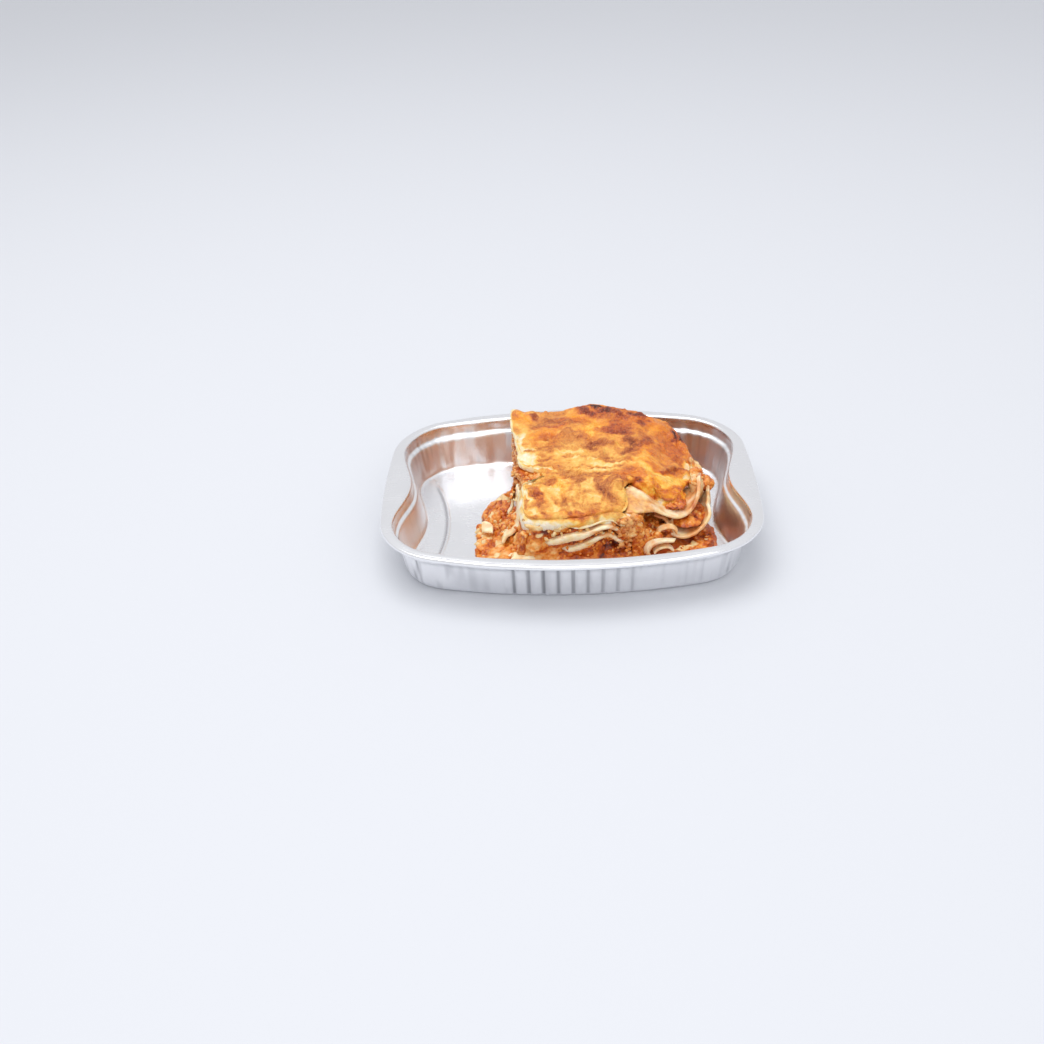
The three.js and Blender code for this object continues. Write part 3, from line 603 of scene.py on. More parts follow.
def tray_shell():
    """Rings of the tray's profile, from the outer base over the walls and the bead to the floor's edge:
    each station is joined to the next in so many steps, and the rings are rounded by averaging neighbours
    twice."""
    inset, edge, bead = LEDGE_INSET, TRAY_HEIGHT - FOIL, TRAY_HEIGHT - BEAD_DROP
    foot = LEDGE_WIDTH + inset + WALL_LEAN
    stations = [
        (wall_ring(foot + 2.2, 0), 3), (wall_ring(foot - FOIL, 2.4, True), 12),
        (wall_ring(inset + LEDGE_WIDTH - FOIL, LEDGE_HEIGHT - 1.4, True), 3),
        (wall_ring(inset - FOIL, LEDGE_HEIGHT - FOIL), 6), (wall_ring(-FOIL, edge), 3),
        (rim_ring(BEAD_WIDTH, edge), 3), (rim_ring(BEAD_WIDTH - 0.3, bead + 0.2), 2),
        (rim_ring(0.4, bead + 0.3), 3), (rim_ring(0, TRAY_HEIGHT - BEAD_DROP / 2), 3),
        (rim_ring(0.8, TRAY_HEIGHT - 0.1), 2), (rim_ring(BEAD_WIDTH, TRAY_HEIGHT - 0.4), 2),
        (rim_ring(BEAD_WIDTH + 0.7, TRAY_HEIGHT), 4), (wall_ring(-0.3, TRAY_HEIGHT), 8),
        (wall_ring(inset, LEDGE_HEIGHT), 3), (wall_ring(inset + LEDGE_WIDTH, LEDGE_HEIGHT - 0.5, True), 14),
        (wall_ring(foot, 3, True), 3), (wall_ring(foot + 0.9, 1.2), 3), (wall_ring(foot + 2.8, FOIL), 1),
    ]
    rings = []
    for (here, steps), (there, _) in zip(stations, stations[1:]):
        rings += [here + (there - here) * k / steps for k in range(steps)]
    rings = np.array(rings + [stations[-1][0]])
    for _ in range(2):
        rings[1:-1] = 0.25 * rings[:-2] + 0.5 * rings[1:-1] + 0.25 * rings[2:]
    return rings


def wall_creases(arc, height):
    """How far the foil of the walls is pushed out: upright pleats, strongest in the corners, and soft
    drapes."""
    where = flat(arc, 0, height)
    corner = bell(np.abs(MOUTH_Y) - 66, 22) * bell(np.abs(MOUTH_X) - 92, 26)
    pleats = (0.04 + 0.34 * corner) * noise(where, (2.3, 1, 26), 3)
    pleats = pleats + (0.08 + 0.3 * corner) * noise(where, (5.5, 1, 40), 4)
    draped = ease((-MOUTH_X + 10) / 30) * ease((np.abs(MOUTH_Y) - 40) / 20)
    soft = 0.4 * noise(where, (19, 1, 26), 5) + 0.85 * draped * noise(where, (7, 1, 18), 9)
    mid_wall = ease(height / 7) * ease((LEDGE_HEIGHT + 7 - height) / 6)
    return (pleats + soft) * mid_wall * (1 - 0.55 * (GROOVE > 0))


def tray_floor(edge):
    """Rings of the floor, the edge drawn in by shares, with a pressed ridge along an arc near each end and
    shallow dents. Gives the shade beside the ridge too."""
    shares = np.concatenate([np.linspace(1, 0.7, 48)[1:], np.linspace(0.7, 0.06, 12)[1:]])[:, None]
    rings = edge * [1, 1, 0] * shares[..., None]
    x, y = rings[..., 0], rings[..., 1]
    off_arc = np.abs(x) - 75.4 - 0.0036 * (y + 5) ** 2
    on_arc = ease((46 - np.abs(y - 3)) / 8)
    dents = 0.2 * noise(flat(x, y), 34, 7) + 0.05 * noise(flat(x, y), 11, 8)
    rings[..., 2] = FOIL + 0.8 * bell(off_arc, 1.1) * on_arc + dents * ease((1 - shares) / 0.1)
    return rings, 0.5 * bell(off_arc - 1.3, 1.0) * on_arc


OUTER_RINGS = 29  # how many of the shell's rings lie on its outside, up to the bead


def foil_tray():
    """The shell, creased along the mouth's normals, and the floor. One side of each crease and the grooves of
    the outer wall get painted shade."""
    rings = tray_shell()
    step = np.linalg.norm(np.roll(MOUTH_LINE, -1, axis=0) - MOUTH_LINE, axis=1)
    arc = np.cumsum(step)[None]
    height = rings[..., 2]
    creases = wall_creases(arc, height)
    rings[..., :2] += OUT_OF_MOUTH * creases[..., None]
    flange = ease((height - (TRAY_HEIGHT - 1)) / 0.8)
    rings[..., 2] += flange * 0.16 * noise(flat(arc, 0), 17, 6)
    floor_rings, ridge_shade = tray_floor(rings[-1])

    # painted shade: on the side of each crease that turns one way, and in the grooves of the outer wall,
    # strongest at the left
    slope = (np.roll(creases, -1, axis=1) - np.roll(creases, 1, axis=1)) / (2 * step)
    upright = ease(height / 4) * ease((LEDGE_HEIGHT + 6 - height) / 4)
    valley = np.where(ON_LONG_WALLS, ease((GROOVE / FLUTE_DEPTH - 0.55) / 0.4), 0)
    valley = valley * (0.75 - 0.4 * ease((MOUTH_X + 10) / 45))
    outer = np.arange(len(rings))[:, None] < OUTER_RINGS
    shade = valley * outer * ease((height - 1.2) / 1.5) * ease((LEDGE_HEIGHT + 1 - height) / 3)
    shade = np.concatenate([shade + np.clip(2.0 * slope, 0, 0.7) * upright, ridge_shade])
    upright = np.concatenate([upright, 0 * ridge_shade])
    poles = (np.zeros(3), np.array([0, 0, floor_rings[-1, :, 2].mean()]))
    rings = np.concatenate([rings, floor_rings])
    skin_piece("foil_tray_drawn", rings, FOIL_FINISH, ["foil_tray"], poles, wall=upright, shade=shade)


foil_tray()


# ------------------------------------------------------------------ levels of the food
def crust_level(x, y):
    """Smooth top of the crust: it climbs to the back, sags to the front and slides down on the right."""
    back = BACK_RISE * ease((y + 5) / 75)
    front = FRONT_FALL * ease((-8 - y) / 44)
    side = SIDE_FALL * ease((x - 42) / 33)
    arch = 1.2 * bell(x - 20, 14) * ease((8 - y) / 45)
    droop = LOBE_DROOP * bell(x - 55.5, 6) * ease((-4 - y) / 12)
    return BLOCK_HEIGHT + back - front - side - droop + arch


def crust_relief(x, y):
    """Crags of the crust: the burnt back edge, humps, a torn lip, creases, a flap and a cheese crumb."""
    burnt_edge = 3.4 * hill(x, y, 16, 70, 12, 6) + hill(x, y, 31, 67, 7, 6)
    sag = 1.8 * hill(x, y, -14, 73, 13, 8)
    corner = 1.4 * hill(x, y, -35, 70, 5, 5) - 1.6 * hill(x, y, -28, 71, 3, 5)
    back_right = 4 * hill(x, y, 63, 57, 8, 8)
    humps = 1.3 * hill(x, y, -4, 50, 14, 11) + 1.1 * hill(x, y, 4, -18, 22, 7)
    crumb = 1.8 * hill(x, y, 25, 30, 4.5, 3)
    lip = 2.6 * hill(x, y, 65, 11, 8, 3.5) - 1.6 * hill(x, y, 62, 1, 8, 5)
    creases = 1.5 * hill(x, y, 22, 18, 22, 3.5) + 1.6 * hill(x, y, -9, 0, 11, 3)
    torn_flap = 1.8 * hill(x, y, 27, -11, 6, 4)
    thin_edge = 1.4 * ease((x - 26) / 7) * ease((-10 - y) / 8)
    ripple = 0.35 * np.sin(x / 3.1 + y / 7) * np.cos(y / 4.3 - x / 9)
    edges = burnt_edge - sag + corner + back_right + lip + torn_flap - thin_edge
    return edges + humps + crumb - creases + ripple


def lid(x, y):
    """Top of the block, hollowed under the sheet that drapes over its front right corner."""
    drape = 4 * ease((x - 22) / 8) * ease((4 - y) / 14)
    steep = 2 * ease((x - 33) / 8) * ease((8 - y) / 14)
    slope = 1.4 * ease((x - 34) / 8)
    return crust_level(x, y) - CRUST_THICK - 2 * GAP - drape - steep - slope


def ring_at(centre, angles, distance, height):
    """A ring of points at a distance from the centre, as high as height says over each place."""
    x = centre[0] + distance * np.cos(angles)
    y = centre[1] + distance * np.sin(angles)
    return np.column_stack([x, y, height(x, y)])


def layer_rings(reach, low, high, angles, shares, edge_steps, stand=0, bulge=0, undercut=0,
                centre=BLOCK_CENTRE):
    """Rings of a layer between two heights over an outline: out along the underside, up the edge, which
    swells by bulge as a half wave, and back in along the top. stand moves the whole edge out, undercut sets
    its top back."""
    way = np.stack([np.cos(angles), np.sin(angles)], axis=-1)
    out = reach(angles) + stand
    under = [ring_at(centre, angles, out * share, low) for share in shares]
    over = [ring_at(centre, angles, (out - undercut) * share, high) for share in shares[::-1]]
    low_edge = ring_at(centre, angles, out, low)
    high_edge = ring_at(centre, angles, out - undercut, high)
    high_edge[:, 2] -= 0.15 * undercut
    edge = []
    for k in range(edge_steps + 1):
        rise = k / edge_steps
        point = low_edge + (high_edge - low_edge) * rise
        swell = np.asarray(bulge * math.sin(math.pi * rise) ** 0.7)
        point[:, :2] += way * np.broadcast_to(swell, len(angles))[:, None]
        edge.append(point)
    return np.array(under + edge + over), len(under)


# ------------------------------------------------------------------ browned crust
CRUST_OUTLINE = [
    (-27.5, -37), (-24, -43.5), (-10, -44.5), (5, -43.5), (18, -41.5), (27, -40), (32, -36), (33.5, -26),
    (32.5, -16), (34.5, -11), (44, -11.5), (53, -16), (61, -16.5), (66.5, -9), (70, 0), (74.4, 8),
    (78, 16), (78.4, 26), (77, 35), (73.8, 47), (69, 57), (61, 64), (48, 66), (33, 69), (16, 71.5), (2, 71),
    (-20, 72), (-35.5, 72), (-36.5, 62), (-34.5, 45), (-31.5, 25), (-30, 12), (-25, 6), (-18, 2), (-16, -4),
    (-20, -8.5), (-27.5, -12), (-28, -24),
]

# the lip of cheese that stands over the folded sheet, and the torn edge in front of it, as lines on the
# plan
LIP = [(57.5, 6), (60, 8.5), (64, 11.8), (69, 13.8), (73, 12.5), (76, 10.5)]
TORN_EDGE = [(26, -17.5), (29, -15.5), (33, -13.5), (37, -11.8), (41, -9.5)]

# how far each patch is toasted, where it lies, its half sizes and turn; later patches lie over earlier ones
TOAST_PATCHES = [
    # yellow and gold
    (0.32, -24, 40, 7, 7, 0), (0.36, -10, 43, 10, 4, 5), (0.26, 14, 47, 4, 14, -4), (0.32, 4, 63, 6, 4, 0),
    (0.32, -30, 52, 4, 14, 0), (0.34, -27, 67, 6, 4, 0), (0.38, 8, 50, 6, 8, 0), (0.26, 0, 21, 15, 4, 5),
    (0.28, 22, 9, 17, 2.2, -4), (0.24, 18, 3.5, 17, 2.2, -6), (0.28, 3, 11, 9, 4, 0),
    (0.3, 30, 20, 8, 3, -20), (0.22, -6, -17, 4, 8, 0), (0.24, 12, -16, 5, 6, 15),
    (0.32, 12, -31, 6, 4, 0), (0.34, -9, -5, 6, 4, 0), (0.32, 47, 15, 3.6, 14, -12),
    (0.34, 41, 6, 6, 4, 0), (0.28, 59, -5, 5, 9, -20), (0.38, 40, 42, 3, 7, -10),
    (0.34, -22, -14, 4, 5, 0), (0.34, 30, -30, 3, 8, 10), (0.38, -14, -38, 9, 4, 0),
    (0.4, 5, -38, 14, 3, 0), (0.3, -19, 32, 8, 2.4, 4), (0.4, 52, 40, 5, 14, -20),
    (0.32, -2, -24, 9, 2.4, 10), (0.36, 22, -9, 7, 3, 10), (0.32, -16, -27, 3, 6, 0),
    (0.38, 24, 38, 5, 3, 0),
    # tan and brown
    (0.66, -6, 56, 13, 6, -4), (0.68, -12, 49.5, 13, 2.2, -6), (0.78, -23, 62, 3, 3.6, 0),
    (0.6, 5, 39, 7, 5, 0), (0.6, -16, 27, 14, 2.6, 4), (0.72, 17, 26.5, 10, 3.8, -4),
    (0.64, -27, 25, 3, 4, 0), (0.74, 31, 46, 9, 11, 20), (0.8, 38, 28, 4.5, 8, -35),
    (0.76, 49, 36, 4, 9, -25), (0.6, 22, 15, 13, 3.2, 2), (0.58, 31, -2, 13, 4, 4),
    (0.62, -3, -31, 7, 8, 0), (0.64, 2, -4, 12, 2.8, -6), (0.64, 21, -22, 5, 9, 20),
    (0.6, -20, -27, 3.6, 9, 0), (0.66, 28, -12, 9, 3.2, 14), (0.62, 26, -32, 4, 8, 0),
    (0.58, 67, 36, 8, 13, 0), (0.6, 72, 24, 4, 9, 0), (0.6, 12, -43.5, 22, 1.2, 3), (0.6, 40, 18, 4, 5, 0),
    (0.58, -12, 7, 8, 2.2, -10), (0.66, 5, -13, 3, 7, 5), (0.62, -13, -12, 3, 6, 0),
    (0.64, 18, -12, 4, 5, 20), (0.6, 8, -26, 8, 2.4, 5), (0.6, 3, -41.5, 9, 1.6, 0),
    # burnt edge, and painted shade: the shadow under the torn flap and the hollow under the lip
    (0.84, 14, 65, 8, 2.6, -10), (1.05, 19.5, 69, 5, 1.8, -8), (0.86, 27, 64, 8, 2.6, -20),
    (0.84, 44, 61, 8, 2.6, -14), (0.8, 35, 58, 7, 2.4, -10), (0.8, 31, -18.5, 5, 1.2, 24),
    (0.92, 66, 49, 2.4, 3, 0), (0.84, 71, 47, 2, 3, 0), (0.8, 46, 51, 2, 5, -20),
]

# a brown patch, but not a burnt one, is toasted only this share as far past the middle as its value says
BROWN_SHARE = 0.72

# white sauce that shows through at the left and under the lip
WHITE_PATCHES = [
    (-25, 19, 8, 4.5, -22), (-22, 12, 7, 3.6, -35), (-15, 4, 7, 2, -12), (-27, -20, 2, 14, 0),
    (-22, -10, 5, 1.6, 30), (-25, 28, 5, 2, -10), (-23, -39, 4, 2.4, 0), (72, 3, 3, 8, -20),
    (-30, 34, 2.4, 12, 0), (75.5, 17, 3, 6, 10),
]

# where oil makes the colour deep orange
OIL_PATCHES = [
    (66, 38, 14, 24, 0), (58, 0, 13, 15, 0), (45, 56, 20, 10, 0), (18, 66, 16, 7, 0), (30, 46, 10, 12, 0),
    (-16, 40, 10, 6, 0), (14, 46, 6, 14, 0), (3, 60, 8, 6, 0), (-12, 47, 12, 3, 0), (50, 20, 7, 16, 0),
    (40, -6, 9, 8, 0), (5, -43, 18, 2.4, 0), (-20, -26, 4, 8, 0), (-6, -16, 5, 8, 0), (-30, 62, 6, 10, 0),
]


def warped(x, y, reach=1.0, seed=40):
    """The plan shifted to and fro by noise, so that painted patches get wandering edges."""
    where = flat(x, y)
    shift = [sum(reach * size * 0.38 * noise(where, size, seed + k + j) for j, size in enumerate((9, 4, 1.9)))
             for k in (0, 10)]
    return x + shift[0], y + shift[1]


# painted highlights on the lobe under the lip: pale spots, each with its place and half sizes
LOBE_HIGHLIGHTS = [(58, -8, 5, 3.6), (55, -1.5, 4, 4), (62, -3, 3.4, 6), (49, 2, 4, 5), (66, -2, 2, 5)]


def wrinkles(x, y):
    """Thin wandering wrinkles along the crust, 1 on their lines: stretched noise, where it crosses zero."""
    return 1 - 5 * np.abs(noise(flat(*warped(x, y, 1.4, 70)), (17, 3.2, 1), 61))


def crust_paint(x, y, drop, inset):
    """toast and oil over the crust: each patch pulls the value to its own where its Gaussian is high;
    streaks run along the crust; the left margin, inset millimetres in, is white sauce, and so is the edge,
    drop millimetres down."""
    u, v = warped(x, y)
    where = flat(x, y)
    toast = 0.47 + 0.1 * rough(flat(u, v), 12, 3, 50)
    frayed = 0.5 * rough(where, 3.4, 3, 57)
    for value, cx, cy, wx, wy, turn in TOAST_PATCHES:
        if 0.5 < value < 0.82:
            value = 0.5 + (value - 0.5) * BROWN_SHARE
        pull = ease((hill(u, v, cx, cy, 1.12 * wx, 1.12 * wy, turn) - 0.2 + 0.3 * frayed) / 0.6)
        toast = towards(toast, value, 0.9 * pull)
    streaked = ease((36 - y) / 8) * ease((y + 6) / 8) * ease((50 - x) / 10)
    toast -= 0.12 * np.clip(wrinkles(x, y), 0, 1) * streaked
    toast += 0.08 * rough(flat(u, v), (5, 2.8, 1), 3, 68)
    toast += 0.13 * rough(flat(u, v), (2.6, 9, 1), 3, 58) * ease((-4 - y) / 8)
    toast -= 0.05 * ease((-4 - y) / 10)
    rim = bell(inset - 0.6, 1.4) * ease((-30 - y) / 6)
    toast = towards(toast, 0.46 + 0.2 * noise(where, 3, 51), 0.6 * rim)
    for cx, cy, wx, wy, turn in WHITE_PATCHES:
        toast = towards(toast, 0.03, ease((hill(u, v, cx, cy, wx, wy, turn) - 0.18) / 0.5))
    left = ease((-17 - x) / 6) * ease((y + 40) / 6)
    margin = ease((1.9 + 1.2 * noise(where, 5, 53) - inset) / 1.4) * left
    toast = towards(toast, 0.08, margin)
    under_lip = ease((x - 43) / 6) * ease((9 - y) / 6)
    toast = towards(toast, 0.4 + 0.2 * rough(where, 4, 3, 48), 0.9 * under_lip)
    # painted highlight: the toast is pulled pale on the hump of the lobe under the lip
    for cx, cy, wx, wy in LOBE_HIGHLIGHTS:
        toast = towards(toast, 0.16, 0.95 * ease((hill(u, v, cx, cy, wx, wy) - 0.15) / 0.6))
    torn_lip = crest(u, v, LIP, 1.6)
    toast = towards(toast, 0.52, torn_lip)
    # painted shade: the toast is pulled dark in the hollow under the torn lip and at the end of the notch
    painted_shade_under_lip = crest(u, v + 2.8, LIP, 1.0) * (1 - torn_lip)
    painted_shade_in_notch = hill(u, v, 43.7, -8.5, 2.4, 1.6)
    toast = towards(toast, 0.8, 0.8 * np.clip(painted_shade_under_lip + painted_shade_in_notch, 0, 1))
    toast += 0.2 * crest(u, v, TORN_EDGE, 1.0)
    thin_end = ease((x - 22) / 8) * ease((-13 - y) / 5)
    toast = towards(toast, 0.3, thin_end * (0.8 + 0.4 * noise(where, 4, 56)))
    oil = 0.28 + 0.2 * noise(where, 10, 52)
    for cx, cy, wx, wy, turn in OIL_PATCHES:
        oil = towards(oil, 0.95, np.clip(1.2 * hill(u, v, cx, cy, wx, wy, turn), 0, 1))
    oil = towards(oil, 1, under_lip)
    oil *= (1 - 0.8 * margin) * (1 - 0.8 * torn_lip)
    below = ease((drop - 0.5 - 0.7 * noise(where, 4, 54)) / 1.1)
    side_grain = np.clip(rough(flat(x, y, 1.6 * drop), 4, 3, 55) + 0.3, 0, 1)
    side_tone = 0.2 + 0.24 * side_grain - 0.12 * left + 0.26 * ease((x - 33) / 5)
    line = bell(drop - 1.2, 0.7) * ease((-30 - y) / 6) * ease((16 - x) / 6) * ease((x + 8) / 6)
    side_tone = towards(side_tone, 0.66, line)
    return towards(toast, side_tone, below), oil * (1 - 0.3 * below)


# crumbs of cheese that stand on the crust and its burnt edge: height, place and half size
CHEESE_CRUMBS = [
    (2.2, -23, 64, 2.6), (1.9, -13.5, 67, 1.8), (1.5, 0, 69, 2.6), (1.6, -31, 67, 2.6), (1.4, 46, 62, 2.2),
    (1.6, 66, 49, 2), (1.4, 70, 47, 1.5), (1.8, 28, 29, 1.8), (1.6, 23, 31, 1.5), (1.2, 33, 63, 2),
]


def crust_top(x, y):
    """Top of the solid crust."""
    return crust_level(x, y) + crust_relief(x, y)


def crust_crags(x, y, toast, inset):
    """Relief of the top over the solid's: folds and wrinkles, grit and blisters where it is brown, sunk
    white sauce, crumbs, the torn edge at the front, the lip with its hollow, and a crinkled right side."""
    where = flat(x, y)
    browned = ease((toast - 0.45) / 0.25)
    middle = ease((46 - y) / 10) * ease((52 - x) / 10)
    folds = 0.6 * np.clip(wrinkles(x, y), -0.6, 1) * middle
    folds = folds + 1.1 * noise(flat(*warped(x, y, 1.2, 75)), (12, 6, 1), 67)
    grains = crumbs(where, 1.9, 62)
    grit = 0.55 * browned * grains + (0.25 + 0.15 * browned) * rough(where, 2.2, 3, 63)
    white = ease((0.2 - toast) / 0.15)
    sunk = 0.5 * (1 - browned) * noise(where, 5.4, 64) - 1.2 * white * (1 - 0.5 * noise(where, 3, 59))
    blisters = 0.9 * np.clip(noise(where, 3.4, 65) * 2 - 0.8, 0, 1) * browned
    loose = sum(height * hill(x, y, cx, cy, size, size) for height, cx, cy, size in CHEESE_CRUMBS)
    torn = -1.8 * hill(x, y, 31, -20, 4, 1.4, 24) + 1.2 * hill(x, y, 30, -16.5, 5, 1.4, 24)
    torn = torn + 0.8 * np.sin(1.7 * x + 0.4 * y) * bell(x - 34, 6) * bell(y + 13, 4.5)
    torn = torn + 0.9 * crest(x, y, TORN_EDGE, 1.3)
    lobe = 1.4 * hill(x, y, 59, -4, 5, 7, -20) - 1.2 * hill(x, y, 50, -3, 2, 8, -25)
    lobe = lobe + 1.5 * crest(x, y, LIP, 1.7) - 1.3 * crest(x, y + 2.8, LIP, 1.5)
    lobe = lobe - 1.6 * hill(x, y, 43.7, -8.5, 3, 2.2)
    crinkled = noise(flat(*warped(x, y, 1.6, 78)), (3.2, 8, 1), 79) * ease((x - 54) / 8) * ease((y - 8) / 10)
    relief = ((folds + grit + sunk + blisters + loose + torn + lobe + 1.2 * crinkled)
              * ease(inset / 1.5 + 0.25))
    right_end = ease((x - 27) / 5) * ease((-13 - y) / 4)
    # painted shade: toast darker in the hollows of the folds, and between the grains where the crust is brown
    shadowed = 0.1 * np.clip(-folds, 0, 1) + 0.12 * np.clip(0.3 - grains, 0, 1) * browned
    return relief - 1.8 * ease((4 - inset) / 4) * right_end, shadowed


def cheese_top():
    """The crust: a fine layer over its outline, ragged, whose top is pushed out along its normals by the
    crags."""
    plain = food_reach(CRUST_OUTLINE)
    angles = spokes(680, 0.12)
    around = flat(60 * np.cos(angles), 60 * np.sin(angles))
    far = plain(angles) + 0.7 * rough(around, 6, 3, 60)
    smooth = np.mean([np.roll(far, k) for k in range(-36, 37, 3)], axis=0)
    edge_steps = 12
    rings, under = layer_rings(lambda angle: far, raised(crust_level, -CRUST_THICK), crust_top, angles,
                               np.array([0.3, 0.6, 0.82, 0.93]), edge_steps, bulge=0.5)
    shares = np.concatenate([np.linspace(0.992, 0.9, 16), np.linspace(0.9, 0.03, 92)[1:]])
    top = [ring_at(BLOCK_CENTRE, angles, share * towards(smooth, far, ease((share - 0.45) / 0.5)), crust_top)
           for share in shares]
    kept = under + edge_steps + 1
    rings = np.concatenate([rings[:kept], top])
    inset = far[None] * np.concatenate([np.zeros(kept), 1 - shares])[:, None]
    x, y, z = np.moveaxis(rings, -1, 0)
    drop = np.clip(crust_top(x, y) - z, 0, None)
    toast, oil = crust_paint(x, y, drop, inset)
    on_top = ease(1 - drop / 1.5)
    crags, shadowed = crust_crags(x, y, toast, inset)
    relief = crags * on_top + 0.4 * rough(rings, 2.6, 3, 66) * (1 - on_top)
    relief[:under] = 0
    rings = pushed_out(rings, relief)
    # the toast is given the painted shade of the hollows on top
    skin_piece("cheese_top_baked", rings, CRUST_FINISH, ["cheese_top"], toast=toast + shadowed * on_top,
               oil=oil)


MELT_PATH = [
    (-17, -6), (-21, -8.8), (-26, -11), (-28.6, -14.5), (-29, -24), (-28.7, -36), (-25.5, -43),
    (-18, -45.4), (-8, -45.8), (6, -44.8), (18, -43), (27, -41.2), (32.8, -37), (34.6, -30), (34.2, -22),
    (34, -16), (37, -12.4),
]


def melted_edge():
    """White sauce and cheese melted over the crust's front and left edges: a band along the edge that
    swells out by a power of a sine between the crust's rim and a wandering lower end, and is closed
    behind."""
    along = np.linspace(0, 1, 420)
    path = spline(MELT_PATH, along)
    heading = np.gradient(path, axis=0)
    heading /= np.linalg.norm(heading, axis=1, keepdims=True)
    x, y = path.T
    arc = np.cumsum(np.hypot(*np.gradient(path, axis=0).T))
    out = np.stack([heading[:, 1], -heading[:, 0]], axis=-1)
    run = noise(flat(arc, 0), 3.4, 240) + 0.6 * noise(flat(arc, 0), 1.7, 241)
    right = ease((x - 29) / 4)
    high = crust_top(x, y) - 1.5 - 1.9 * right
    low = 24.7 + 1.6 * ease((x + 9) / 9) - 0.9 * run * (1 - right) - 1.5 * bell(x + 26, 4)
    low = low + 3 * ease((y + 20) / 8) * (x < 0)
    low = np.minimum(towards(low, crust_level(x, y) - CRUST_THICK - 4.2, right), high - 2.2)
    fall = np.linspace(0, 1, 34)[None]
    taper = ease(along / 0.05) * ease((1 - along) / 0.06)
    swell = (1.7 + 0.25 * run - 0.8 * right)[:, None] * np.sin(np.pi * fall**0.8) ** 0.6 * taper[:, None]
    reach = swell - 1.0 + (1.7 + 3.7 * right[:, None]) * fall
    z = high[:, None] + (low - high)[:, None] * fall
    face = np.concatenate([x[:, None, None] + reach[..., None] * out[:, None, :1],
                           y[:, None, None] + reach[..., None] * out[:, None, 1:], z[..., None]], axis=-1)
    face[..., :2] += 0.25 * noise(face, 2.2, 242)[..., None] * out[:, None]
    behind = face[:, ::-6].copy()
    behind[..., :2] -= (2.2 + reach[:, ::-6, None]) * out[:, None]
    rings = np.concatenate([face, behind], axis=1)
    browned = bell(x - 3, 9) * ease((-40 - y) / 3)
    toast = 0.08 + 0.06 * ease((x - 4) / 10) + 0.2 * rough(flat(arc, 0), 7, 3, 243)
    toast = toast[:, None] + (0.3 + 0.14 * browned)[:, None] * (1 - fall) ** 3.5
    toast = toast + 0.2 * rough(face, 3, 3, 244)
    toast = toast - 0.2 * ease((-24 - x) / 4)[:, None]
    toast = toast + (0.2 * np.sin(1.9 * arc) - 0.06)[:, None] * right[:, None]
    oil = np.broadcast_to(0.12 + 0.7 * browned[:, None], toast.shape)
    toast, oil = (np.concatenate([values, values[:, ::-6]], axis=1) for values in (toast, oil))
    skin_piece("cheese_melted_over_edge", rings, CRUST_FINISH, toast=toast, oil=oil)


def oily_cheese():
    """Oily cheese and sauce that fill the hollow of the folded sheet, under the crust's front lobe: as high
    as the crust's underside at the back, down on the sheet at the front, lumpy."""
    outline = [
        (36, -8), (41, -12.5), (47, -16.5), (53, -21), (60, -22.5), (66.5, -19), (69.5, -11), (68, -2),
        (58, 0), (46, -3),
    ]
    centre = (55, -10)
    reach = food_reach(outline, centre)
    angles = spokes(220)

    def top(x, y):
        front = 21.4 + 6.4 * ease((52 - x) / 14)
        sloped = towards(front, crust_level(x, y) - CRUST_THICK + 2.3, ease((y + 20) / 8))
        return sloped - 2 * ease((share_of_reach(x, y, centre, reach) - 0.8) / 0.2)

    rings, _ = layer_rings(reach, lambda x, y: 19.5 + 6 * ease((50 - x) / 12), top, angles,
                           np.linspace(0.04, 0.98, 44), 6, bulge=0.3, centre=centre)
    lumps = mince(rings, 250)
    relief = 0.9 * lumps - 0.5 + 0.7 * rough(rings, 4, 3, 251)
    rings = pushed_out(rings, relief)
    x, y = rings[..., 0], rings[..., 1]
    white_spot = hill(x, y, 53, -17.5, 2.6, 1.6)
    toast = 0.36 + 0.3 * rough(rings, 5, 3, 252)
    toast = toast + 0.36 * ease((-17 - y) / 3) * ease((x - 52) / 4) * (lumps > 0.4)
    toast = toast + 0.4 * hill(x, y, 41.5, -11, 3, 2.4) - 0.5 * white_spot
    oil = 1 - 0.9 * white_spot
    skin_piece("oily_cheese_under_lobe", rings, CRUST_FINISH, toast=toast, oil=oil)


# ------------------------------------------------------------------ layers of the block
BLOCK_OUTLINE = [
    (-27, -40), (-22, -45.5), (-10, -46), (5, -45), (20, -43), (32, -41.5), (39, -38.5), (41.5, -30),
    (41, -16), (40, -4), (42, 12), (50, 22), (64, 30), (70, 42), (66.5, 53), (56, 60), (35, 66),
    (5, 69.5), (-20, 70), (-34, 69), (-36, 50), (-33.5, 25), (-30, 5), (-27.5, -12), (-27, -28),
]

BLOCK_REACH = food_reach(BLOCK_OUTLINE)
BLOCK_ANGLES = spokes(640, 0.4)
EDGE_X = BLOCK_CENTRE[0] + BLOCK_REACH(BLOCK_ANGLES) * np.cos(BLOCK_ANGLES)
EDGE_Y = BLOCK_CENTRE[1] + BLOCK_REACH(BLOCK_ANGLES) * np.sin(BLOCK_ANGLES)
AT_FRONT = np.maximum(0, -np.sin(BLOCK_ANGLES)) ** 3
BEHIND_SHEET = ease((-BLOCK_CENTRE[0] - EDGE_X) / 8) * ease((EDGE_Y - 12) / 8)

